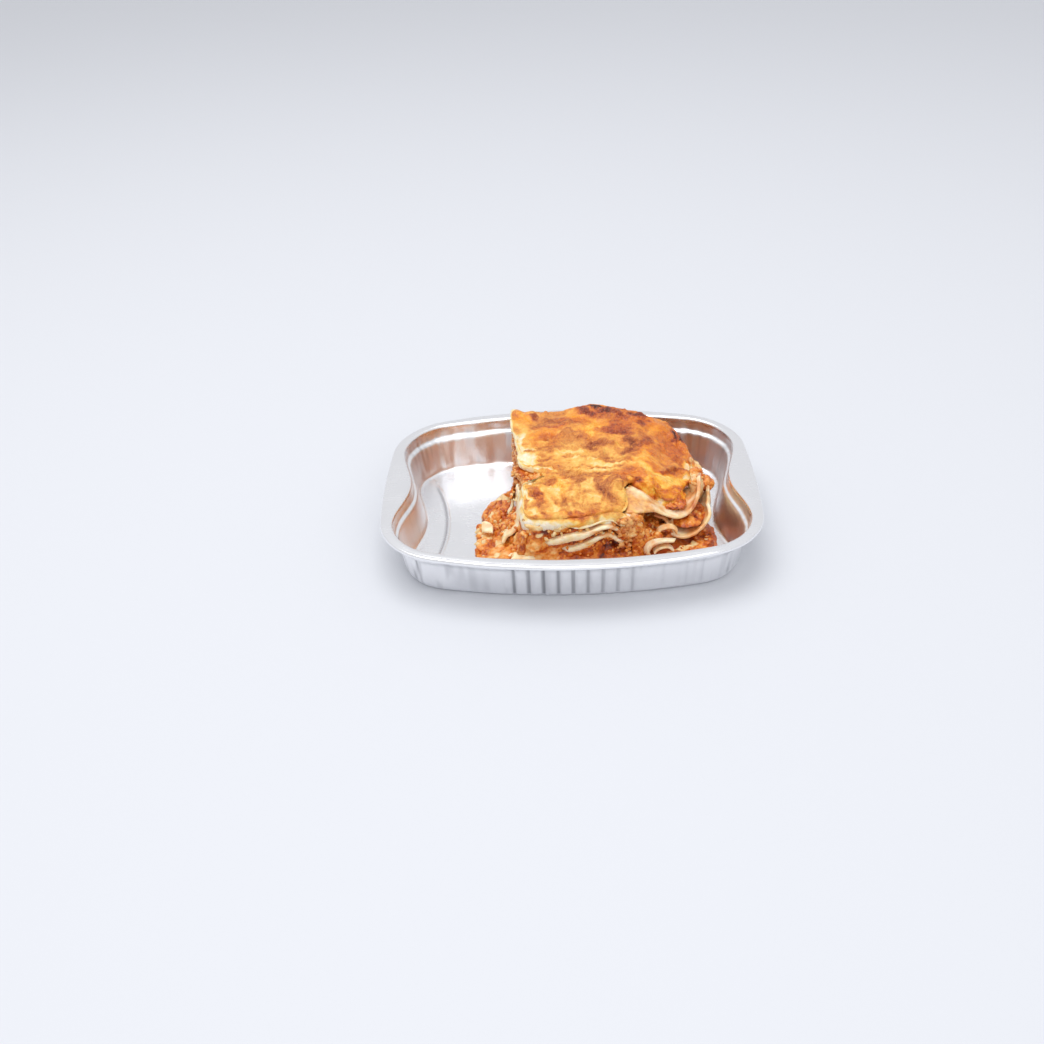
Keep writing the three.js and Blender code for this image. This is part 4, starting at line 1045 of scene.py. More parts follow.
# From the bottom up, as the solids have them. Sauce: its share of the block's height, how far its top dips
# and arches at the front, how far its edge stands out and how lumpy it is, a recess at the front and a
# clump
# at the left. A sheet: its thickness, how far its lip stands out, the stretch of x where the lip shows, and
# its swelling.
LAYERS = [
    dict(name="ragu_layer_1", share=0.4, dip=2.4, arch=6.2, stand=2.2, crag=1.1, recess=7),
    dict(name="pasta_sheet_1", thick=1.8, stand=3.2, shows=(-8, 37), lip=1.0),
    dict(name="ragu_layer_2", share=0.665, dip=3.8, arch=4, stand=0.2, crag=1.2),
    dict(name="pasta_sheet_2", thick=1.9, stand=3.6, shows=(-18, 32), lip=1.9),
    dict(name="ragu_layer_3", share=0.86, dip=1.5, arch=1.8, stand=0, crag=0.9, clump=3.6),
    dict(name="pasta_sheet_3", thick=1.7, stand=1.6, shows=(-4, 40), lip=0),
    dict(name="ragu_layer_4", share=1, dip=0, arch=0, stand=0.2, crag=0.6, clump=4),
]
DIP_AT = -16
ARCH_AT = 20
DRAWN_BACK = 1.4  # how far the layers stand back behind the sheet that hangs at the left


def turn_from(angle, degrees):
    """How far an angle lies from so many degrees, from minus to plus half a turn."""
    apart = angle - math.radians(degrees)
    return np.arctan2(np.sin(apart), np.cos(apart))


def mince(points, seed):
    """Height of minced meat in sauce: round lumps of three sizes, the larger ones only here and there."""
    bent = points + 0.9 * np.stack([noise(points, 3.2, seed + 30 + k) for k in range(3)], axis=-1)
    large = crumbs(bent, 5.6, seed) * ease(noise(points, 12, seed + 1) * 1.6 + 0.55)
    middle = crumbs(bent, 3.1, seed + 2) * ease(noise(points, 7, seed + 3) * 1.6 + 0.6)
    fine = crumbs(bent, 1.7, seed + 4)
    return 1.5 * large + 0.8 * middle + 0.25 * fine + 0.3 * rough(points, 2.4, 2, seed + 5)


GRAIN_SPOTS = []  # points, normals and a kind for the meat sauce that shows, where loose mince lies
ON_BLOCK, ON_PAD, ON_HEAP = range(3)
LIPS = []  # for each sheet's front lip, the stretch of x that shows and its height over the plan


def keep_spots(rings, normals, kind):
    """Keeps the places and normals of sauce that shows, for the loose mince."""
    GRAIN_SPOTS.append((rings.reshape(-1, 3), normals.reshape(-1, 3), kind))


def sauce_top(entry):
    """Top of a layer of sauce: its share of the block's height, arched and dipped towards the front."""

    def top(x, y):
        wave = entry["arch"] * bell(x - ARCH_AT, 9.5) - entry["dip"] * bell(x - DIP_AT, 13)
        return lid(x, y) * entry["share"] + ease((8 - y) / 45) * wave

    return top


def block_sheet(number, entry, under):
    """A sheet of pasta in the block. Its edge is a thick wavy lip where it shows, and drawn back
    elsewhere."""
    top = raised(under, entry["thick"])
    start, end = entry["shows"]
    shows = ease((EDGE_X - start) / 7) * ease((end - EDGE_X) / 12)
    stand = (entry["stand"] * shows - 1.6 * (1 - shows)) * AT_FRONT - 0.4 - DRAWN_BACK * BEHIND_SHEET
    steps = 12
    shares = np.array([0.45, 0.8, 0.88, 0.93, 0.96, 0.985])
    rings, first = layer_rings(BLOCK_REACH, under, top, BLOCK_ANGLES, shares, steps, stand, 0.9)
    near = np.concatenate([shares, np.ones(steps + 1), shares[::-1]])
    near = ease((near - 0.86) / 0.09)[:, None] * AT_FRONT
    x, y, z = np.moveaxis(rings, -1, 0)
    middle = (under(x, y) + top(x, y)) / 2
    swollen = 0.6 + 0.5 * bell(EDGE_X + 2, 12) + 0.6 * noise(flat(EDGE_X, 0), 9, 76 + number)
    waves = 0.9 * noise(flat(x, 0, 9 * number), 11, 77) + 0.5 * noise(flat(x, y, 9 * number), 5, 78)
    rings[..., 2] = middle + (z - middle) * (1 + entry["lip"] * shows * swollen * near) + waves * near * shows
    edge = edge_of(rings, first)
    lip = 0.4 * noise(rings, (7, 7, 30), 80 + number) + 0.16 * rough(rings, 2.4, 2, 84 + number)
    rings = pushed_out(rings, lip * edge * (0.4 + 0.6 * AT_FRONT))
    stain = 0.22 + 0.55 * rough(rings, (9, 9, 1.6), 3, 90 + number) * edge + 0.3 * (1 - edge)
    stain = stain - 0.25 * AT_FRONT * bell(rings[..., 0] + 2, 14) + 0.3 * ease((rings[..., 0] - 14) / 16)
    skin_piece(entry["name"] + "_cooked", rings, PASTA_FINISH, [entry["name"]], stain=stain)
    LIPS.append((entry["shows"], raised(under, entry["thick"] / 2)))
    return top


def block_sauce(number, entry, under):
    """A layer of meat sauce in the block, whose edge is lumpy mince."""
    top = sauce_top(entry)
    ragged = 0.5 * np.sin(BLOCK_ANGLES * 23 + number) + 0.5 * np.cos(BLOCK_ANGLES * 9 - number)
    clump = entry.get("clump", 0) * bell(turn_from(BLOCK_ANGLES, 177), 0.12)
    stand = entry["stand"] * AT_FRONT - 0.4 + clump - DRAWN_BACK * BEHIND_SHEET
    undercut = entry.get("recess", 0) * bell(turn_from(BLOCK_ANGLES, -74), 0.16)
    shares = np.array([0.45, 0.82, 0.93, 0.975])
    rings, first = layer_rings(BLOCK_REACH, under, top, BLOCK_ANGLES, shares, 18, stand,
                               entry["crag"] * (0.6 + ragged), undercut)
    normal = outward(rings)
    lumps = mince(rings, 100 + 7 * number)
    pushed = (lumps - 0.7) * edge_of(rings, first) * 0.8 * (1 - 0.6 * BEHIND_SHEET)
    rings = rings + normal * pushed[..., None]
    # painted shade: a dark patch in the hollow low on the front of the lowest layer, and tone lighter on the
    # tops of the mince lumps and darker between them
    dark = 0.5 * bell(rings[..., 2] - 12, 5) * bell(rings[..., 0] - 28, 9) * AT_FRONT if number == 0 else 0
    tone = 0.26 + 0.22 * lumps + 0.15 * rough(rings, 7, 3, 110 + number) - dark
    skin_piece(entry["name"] + "_minced", rings, RAGU_FINISH, [entry["name"]], tone=tone)
    left = np.abs(turn_from(BLOCK_ANGLES, 180)) < 1.0
    shown = slice(first + 1, -first - 1)
    keep_spots(rings[shown][:, left], normal[shown][:, left], ON_BLOCK)
    return top


def edge_of(rings, first):
    """1 on the rings of a layer's edge, 0.5 on the first ring past it and 0 inside."""
    edge = np.zeros(rings.shape[:2])
    edge[first:-first] = 1
    edge[[first - 1, -first]] = 0.5
    return edge


def block_layers():
    """Sheets and meat sauce in turn, each on the one below. Their edges lie a little way out from one
    outline."""
    under = level(POOL_TOP + GAP)
    for number, entry in enumerate(LAYERS):
        layer = block_sheet if "thick" in entry else block_sauce
        under = raised(layer(number, entry, under), GAP)


RUN_FROM, RUN_TO = math.radians(196), math.radians(321)  # the stretch of the block that sauce ran over
RUN_DEPTH = 5.5  # how far the run reaches into the block


def run_down_front():
    """Sauce and mince that ran over the cut front. The surface stands on the cut, at an angle round the
    block and a height between pool and crust, and is pushed out by a thickness: lumps and runs, less where
    a sheet's lip shows or the cut is hollow, more at the cluster on the right. Under the crust at the left
    it is smooth white sauce."""
    angle = np.linspace(RUN_FROM, RUN_TO, 420)[:, None]
    rise = np.linspace(0, 1, 130)[None]
    x = BLOCK_CENTRE[0] + BLOCK_REACH(angle) * np.cos(angle)
    y = BLOCK_CENTRE[1] + BLOCK_REACH(angle) * np.sin(angle)
    bottom = POOL_TOP - 0.8
    z = bottom + (lid(x, y) + 0.8 - bottom) * rise
    x, y, angle = (np.broadcast_to(values, z.shape) for values in (x, y, angle))
    place = flat(x, y, z)
    cream = bell(z - 27.4, 2.2) * ease((-6 - x) / 6) + 0.5 * bell(z - 29.6, 1.6) * ease((x - 11) / 4)
    cream = cream + 0.9 * bell(z - 24.4, 1.6) * bell(x + 8, 2.6)
    cream = np.clip(cream + 0.9 * bell(z - 22.6, 1.3) * bell(x + 18, 2.2), 0, 1)
    lumps = mince(place, 210) * (1 - 0.8 * cream)
    thick = 1.5 + 1.3 * rough(place, (9, 9, 5), 3, 220) + 1.1 * (lumps - 0.7)
    for (start, end), height in LIPS:
        shows = ease((x - start) / 7) * ease((end - 2 - x) / 12)
        apart = z - height(x, y) - 0.9 * noise(flat(x, 0 * x, 9), 11, 77)
        bare = bell(apart, 2.9 + 1.3 * bell(x + 2, 12))
        thick = thick - 6 * bare * shows * (0.85 + 0.6 * noise(place, 7, 221))
    cluster = bell(x - 34, 6.5) * bell(z - 21, 7)
    thick = thick + cluster * (1.2 + 1.6 * crumbs(place, 6.5, 222))
    thick = thick - 7 * bell(x - 27, 8) * bell(z - 10.5, 3.6)
    cream = np.clip(cream + 0.5 * cluster * ease(noise(place, 2.8, 224) * 3), 0, 1)
    thick = thick + 1.4 * cream + 1.8 * ease((8 - z) / 6) + 1.5 * bell(z - 14, 6) * ease((-14 - x) / 5)
    thick = thick * (1 - 0.3 * ease((-26 - x) / 3) * ease((y + 38) / 8))
    thick = thick * ease(rise / 0.04 + 0.2) - 2.5 * ease((rise - 0.94) / 0.06)
    taper = ease((angle - RUN_FROM) / 0.12) * ease((RUN_TO - angle) / 0.1)
    thick = thick * taper - 4 * (1 - taper)
    out = thick + 2.4 * (1 - rise) - 0.6
    skin = flat(x + out * np.cos(angle), y + out * np.sin(angle), z)
    skin[..., 2] -= 0.25 * np.clip(thick, 0, 4) * ease(rise / 0.15)
    inner = flat(x - RUN_DEPTH * np.cos(angle), y - RUN_DEPTH * np.sin(angle), z)[:, ::-12]
    # painted shade: tone lighter on the tops of the lumps and darker between them, and darker in the hollow
    # low on the right of the cut
    tone = 0.34 + 0.22 * lumps + 0.36 * rough(place, (8, 8, 4), 3, 223) + 0.3 * cluster
    tone = tone - 0.25 * bell(x - 30, 10) * bell(z - 10, 5) + 0.1 * ease((-6 - x) / 10)
    tone, cream = (np.concatenate([values, np.repeat(values[:, -1:], inner.shape[1], axis=1)], axis=1)
                   for values in (tone, cream))
    rings = np.concatenate([skin, inner], axis=1)
    skin_piece("sauce_run_over_front", rings, RAGU_FINISH, tone=tone, cream=cream)


cheese_top()
melted_edge()
oily_cheese()
block_layers()
run_down_front()


# ------------------------------------------------------------------ draped and curled sheets
# each is a sheet between a near and a far edge curve
def shifted(points, dx, dy, dz):
    """The same curve, moved."""
    return [(x + dx, y + dy, z + dz) for x, y, z in points]


CURL_LINER = [(48.6, -46.8, 6.4), (50.4, -46.4, 8.6), (53.6, -46, 10), (57, -46, 10), (59.8, -46.2, 7.8)]
SCRAP_OVER_CURL = [
    (50.4, -36.4, 13.4), (52, -36, 15.2), (55, -36, 16.8), (58.6, -36, 17), (61.2, -36, 15),
    (62.2, -36, 12.6),
]
STRAND = [(-34.4, -5.5, 22.8), (-34.8, -8.5, 20.4), (-35.8, -11.5, 17.8), (-37.8, -13, 15.6)]
SCRAP_UNDER_FOLD = [
    (49.6, -24, 18.6), (52, -24.5, 17.8), (54.3, -25, 17.4), (56.2, -26, 16.4), (57.6, -27, 14.6),
    (58.8, -28, 13.6), (60.8, -28, 15.4),
]
STRIPS = {
    "pasta_fold_upper": dict(
        near=[(32, -37, 29.2), (38, -37, 29), (44, -33.5, 27.4), (49.6, -29, 24.6), (56, -28, 21),
              (63.4, -28.2, 19.2), (70.6, -23.4, 20), (75.7, -16.4, 24.4), (77.8, -9, 28), (78, 1, 30.6)],
        far=[(33, -12, 31.8), (38, -9.6, 30.9), (44, -7, 28.4), (50, -1, 23.4), (56.5, 7, 19.6),
             (64, 8.6, 17.6), (71, 8, 17.6), (77, 6.5, 20.6), (79.4, 6.5, 25.6), (79.8, 6.5, 30)],
        thick=2.2, stain=0.36),
    "pasta_fold_lower": dict(
        near=[(56, -31, 12), (61, -32.3, 9.6), (66.2, -33.2, 8.6), (71.7, -32, 9), (77.9, -28.5, 11.5),
              (82.5, -22.5, 15), (83.2, -17.6, 18.2), (82, -12.6, 20.8)],
        far=[(55, 6, 9.6), (61, 8, 6.8), (67, 9, 5.8), (73, 9, 6.8), (79, 9, 9.8),
             (84, 9, 14.4), (85.4, 8, 18.2), (84.8, 7, 20.8)],
        thick=2.1, stain=0.4),
    "pasta_curl_front": dict(
        near=[(46.2, -47, 4.3), (45, -46.6, 7.4), (46.4, -46.2, 10.8), (50, -46, 13.4), (54.6, -46, 14.6),
              (60, -46, 14.6)],
        far=[(43.6, -40.8, 4.2), (42.6, -40.8, 6.2), (43, -40.6, 9), (45.4, -40.5, 11.2), (51, -40.5, 12.8),
             (61.4, -40.5, 13)],
        thick=2.0, stain=0.12),
    "pasta_curl_liner": dict(near=CURL_LINER, far=shifted(CURL_LINER, -0.8, 5, -0.6), thick=1.7, stain=0.12),
    "pasta_scrap_over_curl": dict(
        near=SCRAP_OVER_CURL, far=shifted(SCRAP_OVER_CURL, 0.2, 4.6, 0.4), thick=1.5, stain=0.4),
    "pasta_scrap_under_fold": dict(
        near=SCRAP_UNDER_FOLD, far=shifted(SCRAP_UNDER_FOLD, 0.2, 4.5, 0.8), thick=1.5, stain=0.3),
    "pasta_sheet_left": dict(
        near=[(-29.4, -16, 31), (-29.8, -22, 27.5), (-30.1, -27.7, 22.5), (-31.1, -32, 18.6),
              (-34.8, -34, 15.6), (-38.8, -34.6, 13), (-40.6, -36.2, 9.8)],
        far=[(-31.6, -1, 30), (-31.9, -5, 26.5), (-32.1, -10, 22), (-32.9, -14, 18.4),
             (-36.2, -16, 15.2), (-39.6, -17, 12.6), (-41.6, -18, 9.8)],
        thick=2.4, stain=0.0),
    "pasta_strand_left": dict(near=STRAND, far=shifted(STRAND, -0.4, 4.2, -0.4), thick=1.6, stain=0.15),
    "pasta_lump_left": dict(
        near=[(-54.2, -12.6, 10.2), (-51.6, -13.4, 11.4), (-48.8, -15, 11), (-46.8, -17.4, 9.8)],
        far=[(-54, -19, 7.4), (-51.8, -20.6, 7.8), (-49, -21.6, 8), (-47, -22, 8)],
        thick=2.2, stain=0.15),
}


def strip_rings(near, far, thick, stations=150, points=84):
    """A sheet between two edge curves as rings across it: half the thickness is laid off on both sides of
    the middle surface along its normal, and falls to nothing at the edges as a superellipse. The ends close
    the same way."""
    t = np.linspace(0, 1, stations)
    t = ease(t) * 0.25 + t * 0.75
    near_line, far_line = spline(near, t), spline(far, t)
    turn = np.arange(points) / points * 2 * math.pi
    share = 0.5 - 0.5 * np.cos(turn)
    side = np.sign(np.sin(turn))
    width = np.linalg.norm(far_line - near_line, axis=1).mean()
    sharpness = max(2.0, 2.2 * width / thick)
    rounding = (1 - np.abs(2 * share - 1) ** sharpness) ** 0.5
    middle = near_line[:, None] + (far_line - near_line)[:, None] * share[None, :, None]
    length = np.linalg.norm(np.diff(near_line, axis=0), axis=1).sum()
    end = (1 - np.abs(2 * t - 1) ** max(2.0, 2.2 * length / thick)) ** 0.5
    along = np.gradient(near_line, axis=0)[:, None] * (1 - share)[None, :, None]
    along = along + np.gradient(far_line, axis=0)[:, None] * share[None, :, None]
    normal = np.cross(along, (far_line - near_line)[:, None])
    normal /= np.linalg.norm(normal, axis=-1, keepdims=True)
    half = thick / 2 * rounding * side
    return middle + normal * (half[None] * end[:, None])[..., None], normal


def sunk_strip():
    """An end of pasta that lies in the sauce at the foot of the cut, at the left."""
    near = [(-41, -47.6, 5.4), (-36, -50, 6.4), (-30, -50.6, 7), (-24, -50.2, 7), (-19, -48.6, 6)]
    far = [(-39, -43, 7), (-35, -45, 8.4), (-30, -45.6, 9), (-25, -45.4, 9), (-20, -44.6, 8)]
    rings, normal = strip_rings(near, far, 2.0)
    rings = rings + normal * (0.3 * noise(rings, 5, 136))[..., None]
    skin_piece("pasta_end_in_sauce", rings, PASTA_FINISH, stain=0.1 + 0.4 * rough(rings, 5, 3, 137))


FOLD_RIDGE = [(38, -15), (42, -16.5), (45.5, -20), (48.5, -25)]


def draped_sheets():
    """The strips, wavy along their normals. The upper fold has a ridge and is browned towards the crust."""
    for number, (name, entry) in enumerate(STRIPS.items()):
        rings, normal = strip_rings(entry["near"], entry["far"], entry["thick"])
        wavy = 0.4 * noise(rings, 7, 130 + number) + 0.14 * noise(rings, 2.4, 140 + number)
        rings = rings + normal * wavy[..., None]
        stain = entry["stain"] + 0.1 + 0.4 * rough(rings, 6, 3, 150 + number)
        toast = np.zeros(stain.shape)
        if name == "pasta_fold_upper":
            x, y = rings[..., 0], rings[..., 1]
            fluted = ridge(x, y, FOLD_RIDGE, 3)
            rings[..., 2] += 1.3 * fluted
            toast = ease((52 - x) / 16) * (0.85 - 0.8 * fluted + 0.5 * rough(rings, 5, 3, 158))
            below = ease((58 - x) / 14) * ease((-19 - y) / 6)
            toast = towards(toast, 0.75, 0.8 * below * (0.7 + 0.8 * rough(rings, 3.4, 3, 159)))
            stain = stain - 0.35 * fluted + 0.25 * ease((x - 50) / 10) * ease((y + 24) / 6)
        skin_piece(name + "_cooked", rings, PASTA_FINISH, [name], stain=stain, toast=toast)


draped_sheets()
sunk_strip()


# ------------------------------------------------------------------ meat sauce outside the block
POOL_OUTLINE = [
    (-29, -56), (-8, -63), (22, -63), (50, -61), (72, -54), (84, -40), (87.5, -24), (85, -5), (84, 14),
    (79, 30), (75, 46), (64, 60), (40, 68), (5, 71), (-20, 71), (-34, 69), (-35, 45), (-32, 20), (-30, -10),
]


def sauce_pool():
    """Thin sauce on the tray floor: a flat layer, rippled, with a wandering rounded shore."""
    plain = food_reach(POOL_OUTLINE)

    def reach(angle):
        around = flat(60 * np.cos(angle), 60 * np.sin(angle))
        return plain(angle) + 1.2 * rough(around, 7, 3, 160) - 0.8 - 2.4 * bell(angle + 0.5, 0.22)

    def surface(x, y):
        return POOL_TOP - 0.5 * ease((np.hypot(x - 20, (y - 5) * 1.1) - 50) / 30)

    angles = spokes(420)
    shares = np.concatenate([[0.4, 0.62], np.linspace(0.7, 0.985, 26)])
    rings, first = layer_rings(reach, level(FLOOR_TOP), surface, angles, shares, 8, bulge=0.7)
    lumps = mince(rings, 162) * ease(noise(rings, 9, 163) * 2 + 0.8)
    relief = 0.35 * rough(rings, 8, 4, 161) + 0.9 * (lumps - 0.4)
    relief[:first] = 0
    rings = pushed_out(rings, relief)
    rings[..., 2] = np.maximum(rings[..., 2], FOIL + 0.1)
    # painted shade: tone lighter on the tops of the lumps and darker between them
    tone = 0.42 + 0.3 * rough(rings, 12, 3, 164) + 0.22 * lumps
    skin_piece("sauce_pool_wet", rings, POOL_FINISH, ["sauce_pool"], tone=tone)


def ragu_pad(name, outline, centre, z, sink, rise):
    """Meat sauce caught in a fold about a height z: thick in the middle, thin at its edge, lumpy."""
    reach = food_reach(outline, centre)

    def swell(x, y):
        return 1 - np.minimum(1, share_of_reach(x, y, centre, reach)) ** 2

    def top(x, y):
        return z + 0.3 + (rise + 0.5 * np.sin(x * 1.3) * np.cos(y * 1.1)) * swell(x, y)

    rings, first = layer_rings(reach, lambda x, y: z - 0.3 - sink * swell(x, y), top, spokes(150),
                               np.linspace(0.06, 0.97, 30), 5, bulge=0.3, centre=centre)
    normal = outward(rings)
    relief = mince(rings, 170)
    rings = rings + normal * (0.7 * relief - 0.4)[..., None]
    # painted shade: tone lighter on the tops of the mince lumps and darker between them
    tone = 0.3 + 0.16 * relief + 0.36 * rough(rings, 6, 3, 171)
    skin_piece(name + "_minced", rings, RAGU_FINISH, [name], tone=tone)
    keep_spots(rings[-first:], normal[-first:], ON_PAD)


def ragu_lump_right():
    """The browned lump squeezed out at the right: a dome over and under a waist."""
    centre, radius, waist = (83, 12), 6.2, 18.4

    def dome(x, y):
        return np.sqrt(np.maximum(0, 1 - ((x - centre[0]) ** 2 + (y - centre[1]) ** 2) / radius**2))

    rings, _ = layer_rings(lambda angle: 0 * angle + radius, lambda x, y: waist - 0.2 - 3 * dome(x, y),
                           lambda x, y: waist + 0.2 + 5.4 * dome(x, y), spokes(110),
                           np.sin(np.linspace(0.08, 1.5, 26)), 3, bulge=0.1, centre=centre)
    normal = outward(rings)
    relief = crumbs(rings, 3.4, 175) + 0.4 * rough(rings, 2.4, 3, 177)
    rings = rings + normal * (1.1 * relief - 0.5)[..., None]
    # painted shade: tone lighter on the tops of the crumbs and darker between them
    tone = 0.32 + 0.22 * relief + 0.24 * rough(rings, 4, 3, 176)
    skin_piece("ragu_lump_right_minced", rings, RAGU_FINISH, ["ragu_lump_right"], tone=tone)


SPILL_CENTRE = (-45, -12)
SPILL_OUTLINE = [
    (-55.5, -40), (-49, -48), (-38, -50), (-33.5, -46), (-33, -32), (-34.6, -14), (-36.2, 0), (-36.5, 10),
    (-38, 20), (-43, 21.5), (-48.5, 18), (-53, 9), (-54.8, -4), (-55.4, -20),
]


def spill_level(x, y):
    """Height of the spilt heap: banked against the block at the back, lower in front of the hanging
    sheet."""
    bank = ease((x + 58) / 13) * (8 + 6 * ease((x + 49) / 12))
    low_front = 1 - 0.5 * ease((-4 - y) / 16)
    low_back = 1 - 0.5 * ease((y - 12) / 10)
    return 1.4 + bank * low_front * low_back


def notch_level(x, y):
    """Height of the mince in the crust's notch: level with the crust, and down over the block's left
    side."""
    return 33.2 - 9 * ease((-25 - x) / 9) + 0.8 * hill(x, y, -20, -4, 4, 4)


def ragu_heap(name, outline, centre, base, height, seed, count, cream=0.0, replaces=()):
    """A heap of meat sauce from a base up to a height over its outline, covered in lumps of mince, with
    spots of white sauce where cream is above 0. Above 2, all of it is white sauce."""
    reach = food_reach(outline, centre)
    angles = spokes(count)
    edge_steps = 10
    rings, first = layer_rings(reach, level(base), height, angles, np.array([0.5, 0.8, 0.95]), edge_steps,
                               bulge=0.6, centre=centre)
    top = [ring_at(centre, angles, reach(angles) * share, height) for share in np.linspace(0.985, 0.03, 60)]
    rings = np.concatenate([rings[: first + edge_steps + 1], top])
    normal = outward(rings)
    lumps = mince(rings, seed) + 0.5 * crumbs(rings, 7.5, seed + 9)
    relief = 1.25 * lumps - 0.9
    relief[:first] = 0
    rings = rings + normal * relief[..., None]
    rings[..., 2] = np.maximum(rings[..., 2], base)
    # painted shade: tone lighter on the tops of the mince lumps and darker between them
    tone = 0.36 + 0.22 * lumps + 0.3 * rough(rings, 7, 3, seed + 2)
    spots = 0.85 * ease(noise(rings, 5.5, seed + 6) * 2.4 - 0.35) * cream + max(0, cream - 2)
    skin_piece(name + "_minced", rings, RAGU_FINISH, replaces, tone=tone, cream=spots)
    keep_spots(rings[first + 3:], normal[first + 3:], ON_HEAP)


# each heap has its outline, centre, base, height over the plan, seed, spokes and white sauce
HEAPS = {
    "ragu_spill_left": (SPILL_OUTLINE, SPILL_CENTRE, FLOOR_TOP, spill_level, 180, 300, 1),
    "ragu_spill_right": (
        [(44.6, -32), (51, -33), (53, -26), (53.4, -10), (53, 4), (47, 8), (44.4, 2), (44.6, -14)],
        (48, -14), POOL_TOP + GAP, lambda x, y: 10 + 3.4 * hill(x, y, 47.5, -18, 5, 15), 190, 120, 0.5),
    "ragu_in_notch": (
        [(-33, -13), (-27, -13), (-20, -9.5), (-15.5, -5), (-16, 0), (-20, 4), (-26, 7), (-32.5, 8),
         (-35, 0)],
        (-24.5, -3), 25, notch_level, 196, 150, 1.2),
    "ragu_beside_curl": (
        [(36, -43.5), (42, -43), (47, -39), (53, -37), (59, -33), (58, -26), (50, -24), (42, -26), (37, -34)],
        (46, -34), POOL_TOP,
        lambda x, y: np.maximum(19 - 0.62 * np.clip(x - 39, 0, 20), 13) - 3 * ease((-37 - y) / 6),
        260, 160, 0.5),
    "ragu_in_pool_right": (
        [(50, -57), (64, -56), (74, -50), (82, -40), (85.5, -27), (82, -18), (76, -22), (70, -33), (62, -38),
         (52, -48)], (71, -42), FOIL, lambda x, y: 4.2 + 1.2 * hill(x, y, 68, -42, 7, 5), 270, 160, 1),
    "white_sauce_at_right": (
        [(75, -3), (78.5, -3), (81.5, 4), (82.5, 13), (82, 22), (80, 29), (77, 31), (76, 22), (75, 10),
         (73.5, 2)], (78, 13), 16, lambda x, y: 27.4 - 0.45 * np.clip(x - 76, 0, 9), 280, 140, 2.6),
    "ragu_in_left_corner": (
        [(-33.5, -45), (-28, -48), (-24.5, -42), (-25, -14), (-31, -11), (-35.5, -18), (-36.5, -34)],
        (-30, -30),
        POOL_TOP, lambda x, y: 26 - 2.3 * np.clip(-27 - x, 0, 8) - 4 * ease((-38 - y) / 8), 230, 180, 1.3),
}

sauce_pool()
ragu_pad("ragu_in_lower_fold", [(60, -24), (66, -29.5), (72, -29), (78, -24), (81, -15), (80, -4), (76.5, 2),
                                (66, 4), (57, 0), (56, -14)], (68, -13), 13.6, 3, 3)
ragu_pad("ragu_in_upper_fold", [(57, -18), (62, -22.5), (67, -20.5), (69, -15), (68.5, -7), (65, 0), (60, 1),
                                (56, -6)], (62, -11), 22.3, 1.4, 1.5)
ragu_lump_right()
for heap, entry in HEAPS.items():
    ragu_heap(heap, *entry, replaces=[heap] if heap.startswith("ragu_spill") else [])


# ------------------------------------------------------------------ loose mince, blobs and crumbs
def round_blob(halvings):
    """Points and faces of a ball: an icosahedron whose edges are halved again and again and pushed out to
    the radius."""
    ratio = (1 + 5**0.5) / 2
    points = []
    for s in (-1, 1):
        for t in (-1, 1):
            points += [(0, s, t * ratio), (s, t * ratio, 0), (t * ratio, 0, s)]
    apart = np.linalg.norm(np.array(points, float)[:, None] - np.array(points, float)[None], axis=-1)
    near = apart < apart[apart > 0].min() * 1.01
    faces = [(a, b, c) for a in range(12) for b in range(a + 1, 12) for c in range(b + 1, 12)
             if near[a, b] and near[b, c] and near[a, c]]
    points = [np.array(point, float) for point in points]
    for _ in range(halvings):
        halves = {}
        finer = []
        for face in faces:
            middles = []
            for a, b in zip(face, face[1:] + face[:1]):
                key = (min(a, b), max(a, b))
                if key not in halves:
                    halves[key] = len(points)
                    points.append((points[a] + points[b]) / 2)
                middles.append(halves[key])
            (a, b, c), (ab, bc, ca) = face, middles
            finer += [(a, ab, ca), (b, bc, ab), (c, ca, bc), (ab, bc, ca)]
        faces = finer
        points = [point / np.linalg.norm(point) for point in points]
    points, faces = np.array(points), np.array(faces)
    a, b, c = (points[faces[:, k]] for k in range(3))
    inside_out = np.einsum("ij,ij->i", np.cross(b - a, c - a), a) < 0
    faces[inside_out] = faces[inside_out][:, ::-1]
    return points, faces


SMALL_BALL, LARGE_BALL = round_blob(1), round_blob(2)


def random_turns(random, count):
    """Rotation matrices spread evenly over all turns, from random unit quaternions."""
    w, x, y, z = (q := random.normal(size=(4, count))) / np.linalg.norm(q, axis=0)
    return np.stack([
        1 - 2 * (y * y + z * z), 2 * (x * y - w * z), 2 * (x * z + w * y),
        2 * (x * y + w * z), 1 - 2 * (x * x + z * z), 2 * (y * z - w * x),
        2 * (x * z - w * y), 2 * (y * z + w * x), 1 - 2 * (x * x + y * y),
    ], axis=-1).reshape(count, 3, 3)


def scattered(name, places, sizes, finish, seed, ball, tone):
    """Many lumps as one mesh: the ball's points, dented by noise and squeezed, turned, and moved into
    place."""
    random = np.random.default_rng(seed)
    count = len(places)
    ball_points, ball_faces = ball
    shapes = ball_points[None] * random.uniform(0.6, 1.0, size=(count, 1, 3))
    dents = noise(shapes + random.uniform(0, 90, size=(count, 1, 3)), 0.8, seed)
    shapes = shapes * (1 + 0.5 * dents)[..., None] * sizes[:, None, None]
    points = np.einsum("nij,nkj->nki", random_turns(random, count), shapes) + places[:, None]
    faces = (ball_faces[None] + (np.arange(count) * len(ball_points))[:, None, None]).reshape(-1, 3)
    tones = np.repeat(random.uniform(*tone, size=count), len(ball_points))
    new_piece(name, points.reshape(-1, 3), [faces], finish, tone=tones)


